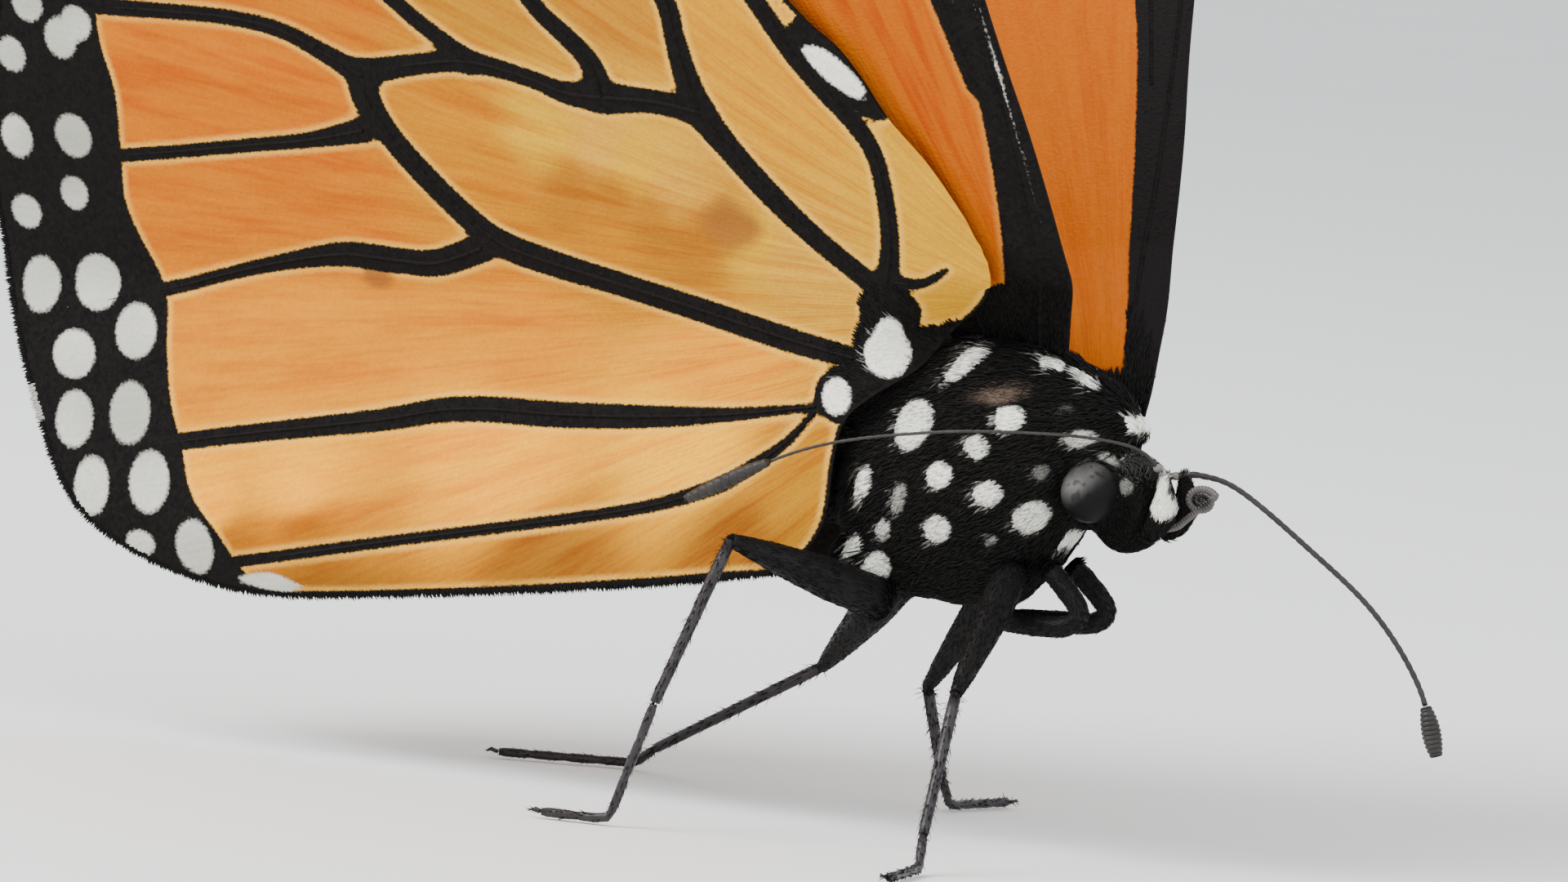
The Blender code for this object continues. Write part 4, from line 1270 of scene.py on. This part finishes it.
# fringes along the margins and hair on the wing bases
wingHair = {
    "fringeStep": 0.062, "fringeRows": (-0.035, 0.0, 0.035), "fringeLength": 0.36,
    "fringeWidth": 0.075, "fringeThick": 0.25, "fringeBright": 0.45,
    "fringeStray": (0.12, 0.05),       # in the wing's plane and out of it
    "fringeWhite": 1.15,      # a cell's middle, this far from the nearest vein band, has white fringe
    "whiteRuns": {"hind": (-36.0, -9.0), "fore": (27.0, 50.0)},   # where along the body or the wing
    "whiteAbove": -9.0,       # and how high on the hindwing
    "start": {"hind": (1.5, -3.5), "fore": (-4.0, 1.6)},          # the hairs lie away from here
    "stray": 0.16, "thin": 0.65, "lift": (6, 20), "widths": (0.10, 0.065),  # of white and black ones
    "shortest": 0.04,         # besides the overhang
    "overhang": 0.16,         # how far a hair may reach out of the black it grows on
    "hindUnder": {"at": (-2.0, -1.4), "spread": 2.6, "count": 3600, "length": 0.5, "face": 1},
    "hindUpper": {"at": (-2.8, -4.0), "spread": 4.2, "count": 5200, "length": 1.5, "face": -1},
    "foreUnder": {"at": (0.4, 1.4), "spread": 2.0, "count": 2600, "length": 0.55, "face": 1},
    "foreUpper": {"at": (0.2, 1.8), "spread": 2.0, "count": 2600, "length": 0.5, "face": -1},
}
hairBox = {"hind": ((-42.0, -18.0), (50.0, 48.0)), "fore": ((-4.0, -4.0), (58.0, 34.0))}


def fringeRoots(kind):
    rim, share = outlines[kind]["rim"], outlines[kind]["share"]
    loop, run = loopRun(rim)
    along = np.arange(0.0, run[-1], wingHair["fringeStep"])
    at = placeAt(along, run, loop)
    ahead = placeAt(along + 0.1, run, loop) - at
    ahead /= np.hypot(*ahead.T)[:, None] + 1e-9
    out = np.column_stack((ahead[:, 1], -ahead[:, 0]))
    if insideOutline(at[:1] + out[:1] * 0.05, rim)[0]:
        out = -out
    amount = np.interp(along, run, np.append(share, share[0]))
    keep = amount > 0.25
    return at[keep], out[keep], amount[keep]


def addWingHair(kind, label, fur):
    veins = hindVeins if kind == "hind" else foreVeins
    at, out, amount = fringeRoots(kind)
    white = wingHair["fringeWhite"] - bandGap(at, veins)
    low, high = wingHair["whiteRuns"][kind]
    place = at[:, 0] if kind == "fore" else np.where(
        at[:, 1] > wingHair["whiteAbove"], at[:, 0], clear)
    white = np.where((place > low) & (place < high), white, clear)
    batches = []
    for row in wingHair["fringeRows"]:
        n = len(at)
        root = np.column_stack((at - out * draws.uniform(0.0, 0.1, n)[:, None], np.full(n, row)))
        normal = np.tile((0.0, 0.0, 1.0), (n, 1))
        inPlane, outOfIt = wingHair["fringeStray"]
        lie = unit(np.column_stack((out + draws.normal(0, inPlane, (n, 2)),
                                    draws.normal(0, outOfIt, n))))
        length = wingHair["fringeLength"] * amount * draws.uniform(0.75, 1.05, n)
        corners = tuftCorners(root, normal, lie, length, wingHair["fringeWidth"], 0.0, 0.0, sink=0.0,
                              thick=wingHair["fringeThick"])
        batches.append((root, corners, white, np.full(n, wingHair["fringeBright"])))
    for face in ("Under", "Upper"):
        hair = wingHair[kind + face]
        n = hair["count"]
        angle, far = draws.uniform(0, 2 * math.pi, n), hair["spread"] * np.sqrt(draws.random(n))
        spot = np.array(hair["at"]) + np.column_stack((np.cos(angle), np.sin(angle))) * far[:, None]
        spot = spot[outlineGap(spot, outlines[kind]["rim"]) < -0.1]
        n = len(spot)
        up = hair["face"]
        root = np.column_stack((spot, np.full(n, up * (wing["half"] + wing["bandLift"]))))
        normal = np.tile((0.0, 0.0, float(up)), (n, 1))
        away = unit(spot - np.array(wingHair["start"][kind]))
        lie = unit(np.column_stack((away + draws.normal(0, wingHair["stray"], (n, 2)), np.zeros(n))))
        thin = 1 - wingHair["thin"] * (far[:n] / hair["spread"]) ** 2
        length = hair["length"] * draws.uniform(0.6, 1.15, n) * thin
        lift = np.radians(draws.uniform(*wingHair["lift"], n))
        found = wingFields(root, kind)
        gap = found["spot"]
        length = np.minimum(length, wingHair["overhang"] - np.minimum(found["band"], found["border"]))
        length = np.where(gap < 0, length * 0.7, length)
        ends = wingFields(root + lie * length[:, None] * 0.85, kind)["spot"]
        length = np.where((ends < 0) != (gap < 0), length * 0.5, length)
        width = np.where(gap < 0, *wingHair["widths"])
        grown = length > wingHair["overhang"] + wingHair["shortest"]
        corners = tuftCorners(root, normal, lie, length, width, lift, lift * 1.2)
        batches.append((root[grown], corners[grown], gap[grown], np.ones(grown.sum())))
    root = np.vstack([b[0] for b in batches])
    corners = np.concatenate([b[1] for b in batches])
    gap, bright = (np.concatenate([b[k] for b in batches]) for k in (2, 3))
    n = len(root)
    if label == "left":
        corners = corners[:, (1, 0, 2, 4, 3, 5, 6)]
    placed = placers[kind](corners.reshape(-1, 3), label).reshape(n, 7, 3)
    low, size = hairBox[kind]
    unwrap = (root[:, :2] - np.array(low)) / np.array(size)
    finishCoat(f"coat_{kind}wing_{label}", placed, unwrap, fur, gap, bright)


furForWings = bodyShader("wingTufts", tufts=True)
for kind in ("hind", "fore"):
    for label in sideOf:
        addWingHair(kind, label, furForWings)

# eyes
# the last three entries place a painted sheen, a painted reflection, over the upper back of the eye
eyes = {"centre": (5.08, 1.46, -2.35), "radii": (1.02, 1.06, 1.06), "facet": 0.028,
        "paintedSheenAt": (4.92, -1.95), "paintedSheenSize": (0.78, 1.45), "paintedSheenTurn": 40.0}


def eyeShader():
    s = Shade("eyeFacets")
    at = s.place()
    facet = s.cells(at, 1 / (eyes["facet"] * mm), out="Distance")
    cloud = s.noise(at, 1500.0, 3.0)
    tone = s.mix(cloud, (0.0030, 0.0028, 0.003), (0.0075, 0.0070, 0.0075))
    # a painted sheen over the upper back of the eye, a painted reflection of the sky
    tone = s.mix(s.math("MULTIPLY", s.field("paintedSheen"), s.span(cloud, 0.25, 0.75, 0.45, 1.0)), tone,
                 (0.125, 0.121, 0.115))
    spots = s.span(s.noise(at, 2600.0, 1.0), 0.56, 0.66)
    tone = s.mix(s.math("MULTIPLY", spots, 0.55), tone, (0.004, 0.004, 0.0045))
    return s.set(Base_Color=tone, Roughness=0.4, Specular_IOR_Level=0.07,
                 Normal=s.bump(facet, 0.00001, 0.5))


def buildEyes():
    mat = eyeShader()
    x, y, z = eyes["centre"]
    for label, side in sideOf.items():
        bm = bmesh.new()
        addBall(bm, (x, side * y, z), eyes["radii"], 5)
        mesh = meshOf(f"eye_{label}_facets", bm)
        _, co, _ = meshArrays(mesh)
        # where the painted sheen lies on the eye
        turn = math.radians(eyes["paintedSheenTurn"])
        off = co[:, [0, 2]] - np.array(eyes["paintedSheenAt"])
        ahead = off @ np.array((math.cos(turn), math.sin(turn))) / eyes["paintedSheenSize"][1]
        over = off @ np.array((-math.sin(turn), math.cos(turn))) / eyes["paintedSheenSize"][0]
        addField(mesh, "paintedSheen", 1 - smoothStep(np.hypot(ahead, over)))
        finishPiece(f"eye_{label}_facets", mesh, mat, [f"eye_{label}"])


buildEyes()
print("eyes")


# feelers, tongue and palps
def limbShader(name, dark, light, rough, gloss=0.2):
    s = Shade(name)
    at = s.place()
    grain = s.cells(at, 9000.0, out="Distance")
    cloud = s.noise(at, 1400.0, 3.0)
    tone = s.mix(cloud, dark, light)
    s.set(Base_Color=tone, Roughness=rough, Specular_IOR_Level=gloss,
          Normal=s.bump(grain, 0.00002, 0.6))
    return s.mat


feelers = {
    "knots": {
        "right": ((7.2, -0.7, -1.3), (6.8, -1.35, -0.75), (6.0, -2.6, -0.42), (4.2, -4.3, -0.32),
                  (0.4, -4.95, -0.68), (-4.2, -5.05, -1.75), (-8.6, -5.2, -4.0)),
        "left": ((7.3, 0.75, -1.6), (8.15, 0.95, -1.5), (9.5, 1.3, -1.88), (11.95, 1.8, -3.57),
                 (14.4, 2.45, -5.6), (16.1, 2.95, -7.95), (16.9, 3.3, -10.4)),
    },
    "radius": {"right": 0.056, "left": 0.1}, "clubRadius": {"right": 0.27, "left": 0.34},
    "segment": 0.34, "clubSegments": 11, "clubPoints": 7, "base": (0.17, 0.17, 0.15),
    "rootDepth": 0.5,         # how far the shaft starts inside the head
}


# a finer path whose radius swells a little in each segment
def ringed(path, radius, pitch):
    path = np.array(path)
    run = np.concatenate(([0.0], np.cumsum(np.linalg.norm(np.diff(path, axis=0), axis=1))))
    total = run[-1]
    count = max(2, round(total / pitch))
    points, radii = [], []
    for k in range(count):
        for t, swell in ((0.04, 0.86), (0.2, 1.0), (0.55, 1.04), (0.85, 1.0), (0.96, 0.9)):
            s = (k + t) / count
            points.append(placeAt(s * total, run, path))
            radii.append(radius(s) * swell)
    return points, radii


def buildFeelers():
    mat = limbShader("feelerHorn", (0.010, 0.009, 0.009), (0.042, 0.037, 0.034), 0.45)
    pale = limbShader("feelerBase", (0.09, 0.078, 0.072), (0.24, 0.205, 0.19), 0.5)
    for label, knots in feelers["knots"].items():
        thin, thick = feelers["radius"][label], feelers["clubRadius"][label]
        path = smoothPath(knots, 10)
        split = len(path) - 1 - feelers["clubPoints"]
        shaft, club = path[:split + 1], path[split:]
        onward = (Vector(shaft[1]) - Vector(shaft[0])).normalized()
        base = [Vector(shaft[0]) - onward * feelers["rootDepth"]]
        points, radii = ringed(np.vstack((base, shaft)), lambda s: thin * (1.4 - 0.4 * min(1, s * 6)),
                               feelers["segment"])
        finishPiece(f"feeler_{label}_shaft", tubeMesh("feeler", points, radii, 12), mat,
                    [f"antenna_{label}"])
        bm = bmesh.new()
        addBall(bm, Vector(shaft[0]), feelers["base"], 3)
        finishPiece(f"feeler_{label}_base", meshOf("feelerBase", bm), pale)
        swell = lambda s: thin + (thick - thin) * math.sin(math.pi * min(1, 0.08 + s * 0.80)) ** 0.8
        length = np.linalg.norm(np.diff(club, axis=0), axis=1).sum()
        points, radii = ringed(club, swell, length / feelers["clubSegments"])
        finishPiece(f"feeler_{label}_club", tubeMesh("club", points, radii, 14), mat,
                    [f"antenna_club_{label}"])


buildFeelers()

mouth = {
    "palp": ((6.95, 0.75, -3.75), (7.38, 0.85, -3.35), (7.66, 0.95, -2.72), (7.66, 0.95, -2.2),
             (7.58, 0.9, -1.75), (7.54, 0.85, -1.5)),
    # the palp's radii at those places, and the ovals of its white drop
    "palpRadii": (0.26, 0.38, 0.44, 0.34, 0.22, 0.13),
    "drop": ((7.68, -2.66, .47, .46), (7.6, -2.15, .25, .5), (7.56, -1.82, .17, .3)),
    "coil": (8.66, 0.0, -2.3), "turns": 2.2, "inner": 0.03, "outer": 0.44, "start": 30.0,
    "oval": 1.32, "stem": ((8.2, 0.0, -2.95), (7.8, 0.0, -3.3), (7.2, 0.0, -3.45)),
    # core is a dark ball in the coil's middle, painted shade; the last pair is where the inner turns'
    # painted shade fades out
    "tongue": (0.07, 0.125), "squash": 1.25, "core": (0.2, 0.06, 0.15), "paintedShadeCentre": (0.2, 0.4),
    "palpTufts": 1500, "palpMap": (7.9, 0.85, -4.5, 2.6),       # middle x and y, foot and height
    "dropFrom": 0.82,         # the drop is on the side further out than this
}


def tongueShader():
    s = Shade("tongueHorn")
    at = s.place()
    tone = s.mix(s.noise(at, 1500.0, 3.0), (0.040, 0.034, 0.033), (0.105, 0.092, 0.086))
    # painted shade: the inner turns and the middle ball go dark
    tone = s.mix(s.field("lit"), (0.004, 0.003, 0.003), tone)
    ridges = s.cells(at, 9000.0, out="Distance")
    return s.set(Base_Color=tone, Roughness=0.34, Specular_IOR_Level=0.35,
                 Normal=s.bump(ridges, 0.00002, 0.5))


def buildMouth():
    fur = bodyShader("palpTufts", tufts=True)
    base = bodyShader("palpSkin", tufts=False)
    for label, side in sideOf.items():
        knots = [(x, side * y, z, r) for (x, y, z), r in zip(mouth["palp"], mouth["palpRadii"])]
        path = smoothPath(knots, 6)
        mesh = tubeMesh(f"palp_{label}_skin", path[:, :3], list(path[:, 3]), 16)

        # a white drop on the outer side
        def patch(p):
            outer = np.where(p[:, 1] * side > mouth["dropFrom"], 0.0, clear)
            return outer + dotGap(p[:, [0, 2]], mouth["drop"])

        _, co, _ = meshArrays(mesh)
        for key, values in (("mark", patch(co)), ("bright", 1.0), ("bare", 0.0)):
            addField(mesh, key, np.broadcast_to(values, len(co)))
        finishPiece(f"palp_{label}_skin", mesh, base, [f"palp_{label}"])
        root, normal = scatter(mesh, mouth["palpTufts"])
        lie = lieAlong(normal, np.tile((0.35, 0.0, 1.0), (len(root), 1)), 0.2)
        n = len(root)
        gap = patch(root)
        corners = tuftCorners(root, normal, lie, draws.uniform(0.2, 0.36, n), 0.055,
                              np.radians(draws.uniform(8, 26, n)), 0.3)
        x, y, low, height = mouth["palpMap"]
        around = np.arctan2(root[:, 1] - side * y, root[:, 0] - x)
        unwrap = np.column_stack((around / fullTurn + .5, (root[:, 2] - low) / height))
        finishCoat(f"coat_palp_{label}", corners, unwrap, fur, gap, bright=1.0)
    # the coiled tongue, its inner turns painted dark as shade, with a dark ball as painted shade in its
    # middle
    path = []
    steps = 84
    for k in range(steps + 1):
        a = math.radians(mouth["start"]) + 2 * math.pi * mouth["turns"] * (1 - k / steps)
        r = mouth["inner"] + (mouth["outer"] - mouth["inner"]) * k / steps
        x, y, z = mouth["coil"]
        path.append((x + r * math.cos(a) * mouth["oval"], y, z + r * math.sin(a)))
    path = np.vstack((path, smoothPath((path[-1],) + mouth["stem"], 5)[1:]))
    thin, thick = mouth["tongue"]
    points, radii = ringed(path, lambda s: thin + (thick - thin) * min(1.0, s * 2.4) - 0.03 * s, 0.11)
    mesh = tubeMesh("tongue", points, radii, 12, mouth["squash"],
                    lambda bm: addBall(bm, mouth["coil"], mouth["core"], 2))
    # painted shade, none on the outer turns and full at the coil's middle
    _, co, _ = meshArrays(mesh)
    off = co - np.array(mouth["coil"])
    near, far = mouth["paintedShadeCentre"]
    addField(mesh, "lit", smoothStep((np.hypot(off[:, 0] / mouth["oval"], off[:, 2]) - near) / (far - near)))
    finishPiece("tongue_coil", mesh, tongueShader(), ["proboscis"])


buildMouth()
print("feelers and mouth")

# each leg's root, knee and shin's end, then its heel and toe on the floor
legs = {
    "hind_right": ((-2.6, -1.7, -6.9), (-6.15, -6.4, -5.1), (-7.75, -8.0, -10.9), (-8.9, -8.5),
                   (-11.3, -9.0)),
    "middle_right": ((2.5, -1.8, -5.6), (2.9, -6.5, -9.4), (3.35, -9.2, -14.0), (3.6, -9.9),
                     (4.1, -13.4)),
    "middle_left": ((0.6, 1.8, -6.0), (-3.4, 5.3, -10.5), (-3.9, 8.4, -14.0), (-3.8, 9.1),
                    (-3.0, 12.5)),
    "hind_left": ((-3.2, 1.7, -6.4), (-8.1, 6.4, -10.4), (-15.4, 8.3, -14.4), (-16.4, 8.7),
                  (-20.9, 6.4)),
}
legBuild = {
    # radii, the shares of the length where they are, and the shares where rings are set
    "femur": {"hind": (0.74, 0.74, 0.50, 0.26), "middle": (0.60, 0.60, 0.42, 0.24)},
    "femurKnots": (0, .35, .7, 1.0), "femurAt": (0, .15, .3, .5, .7, .88, 1.0),
    "tibia": (0.2, 0.22, 0.2, 0.19),
    "tibiaKnots": (0, .1, .6, 1.0), "tibiaAt": (0, .03, .12, .3, .5, .7, .9, 1.0),
    "tarsus": 0.165, "tarsusSegments": 5,
    "rootDepth": 0.5, "heelHeight": 0.25,
    # claws: radii, half spacing at the foot, then how far on, how far apart and how high
    "claw": (0.07, 0.055, 0.015), "clawSpacing": 0.1,
    "clawPath": ((0.0, 1.0, 0.0), (0.24, 2.2, 0.08), (0.4, 2.0, 0.0)),
    # tufts: how many, length, width, lift in degrees
    "coats": {"femur": (3200, 0.30, 0.05, 11), "tibia": (160, 0.36, 0.045, 30),
              "tarsus": (170, 0.24, 0.04, 32), "foreleg": (2600, 0.24, 0.045, 14)},
}
# the folded foreleg: place and radius
forelegPath = ((3.5, 1.0, -5.1, .38), (4.2, 1.1, -5.7, .37), (4.95, 1.2, -6.55, .35),
               (4.5, 1.25, -7.1, .36), (3.1, 1.3, -7.2, .37), (1.45, 1.3, -7.2, .26))


# one smooth limb, with its own small tufts
def limbPiece(name, path, radii, mat, node, coat, fur, sides=14, claws=()):
    def addClaws(bm):
        for claw in claws:
            sweep(bm, claw, legBuild["claw"], sides=6)

    mesh = tubeMesh(name, path, radii, sides, extra=addClaws)
    finishPiece(name, mesh, mat, [node])
    count, length, width, lift = coat
    root, normal = scatter(mesh, count)
    path = np.array([tuple(p) for p in path])
    near = np.linalg.norm(root[:, None] - path[None, :-1], axis=2).argmin(1)
    lie = lieAlong(normal, unit(np.diff(path, axis=0))[near], 0.12)
    n = len(root)
    corners = tuftCorners(root, normal, lie, length * draws.uniform(.7, 1.3, n), width,
                          np.radians(lift) * draws.uniform(.5, 1.5, n), 0.15)
    run = np.linalg.norm(root - path[0], axis=1)
    around = np.arctan2(root[:, 1] - path[near, 1], root[:, 2] - path[near, 2])
    finishCoat(f"coat_{name}", corners, np.column_stack((around / fullTurn + .5, run / run.max())), fur,
               mark=clear, bright=0.0)


def buildLegs():
    scaly = limbShader("legScales", (0.0025, 0.0025, 0.0025), (0.008, 0.007, 0.0075), 0.5, gloss=0.1)
    horn = limbShader("legHorn", (0.010, 0.009, 0.010), (0.042, 0.037, 0.040), 0.36)
    fur = bodyShader("legTufts", tufts=True)
    coat = legBuild["coats"]
    for label, (root, knee, end, heel, toe) in legs.items():
        pair = label.split("_")[0]
        root, knee, end = Vector(root), Vector(knee), Vector(end)
        radii = legBuild["femur"][pair]
        into = (root - knee).normalized()
        femur = [root + into * legBuild["rootDepth"]]
        femur += [root.lerp(knee, t) for t in legBuild["femurAt"][1:]]
        thick = list(np.interp(legBuild["femurAt"], legBuild["femurKnots"], radii))
        limbPiece(f"femur_{label}", femur, thick, scaly, f"leg_{label}_femur", coat["femur"], fur)
        tibia = [knee.lerp(end, t) for t in legBuild["tibiaAt"]]
        thick = list(np.interp(legBuild["tibiaAt"], legBuild["tibiaKnots"], legBuild["tibia"]))
        limbPiece(f"tibia_{label}", tibia, thick, horn, f"leg_{label}_tibia", coat["tibia"], fur)
        level = floorLevel + legBuild["heelHeight"]
        heel, toe = Vector((*heel, level)), Vector((*toe, level))
        path = [end, end.lerp(heel, 0.6), heel.lerp(toe, 0.04), heel.lerp(toe, 0.5), toe]
        pitch = ((end - heel).length + (heel - toe).length) / legBuild["tarsusSegments"]
        line = smoothPath([tuple(p) for p in path], 6)
        line[:, 2] = np.maximum(line[:, 2], level)
        points, thick = ringed(line, lambda s: legBuild["tarsus"], pitch)
        onward = (toe - heel).normalized()
        over = Vector((-onward.y, onward.x, 0)) * legBuild["clawSpacing"]
        claws = [[toe + onward * ahead + over * side * apart + Vector((0, 0, high))
                  for ahead, apart, high in legBuild["clawPath"]] for side in (-1, 1)]
        limbPiece(f"tarsus_{label}", points, thick, horn, f"leg_{label}_tarsus", coat["tarsus"], fur,
                  sides=12, claws=claws)
    for label, side in sideOf.items():
        path = smoothPath([(x, side * y, z, r) for x, y, z, r in forelegPath], 4)
        limbPiece(f"foreleg_{label}_limb", path[:, :3], list(path[:, 3]), scaly, f"foreleg_{label}",
                  coat["foreleg"], fur)


buildLegs()
print("legs")
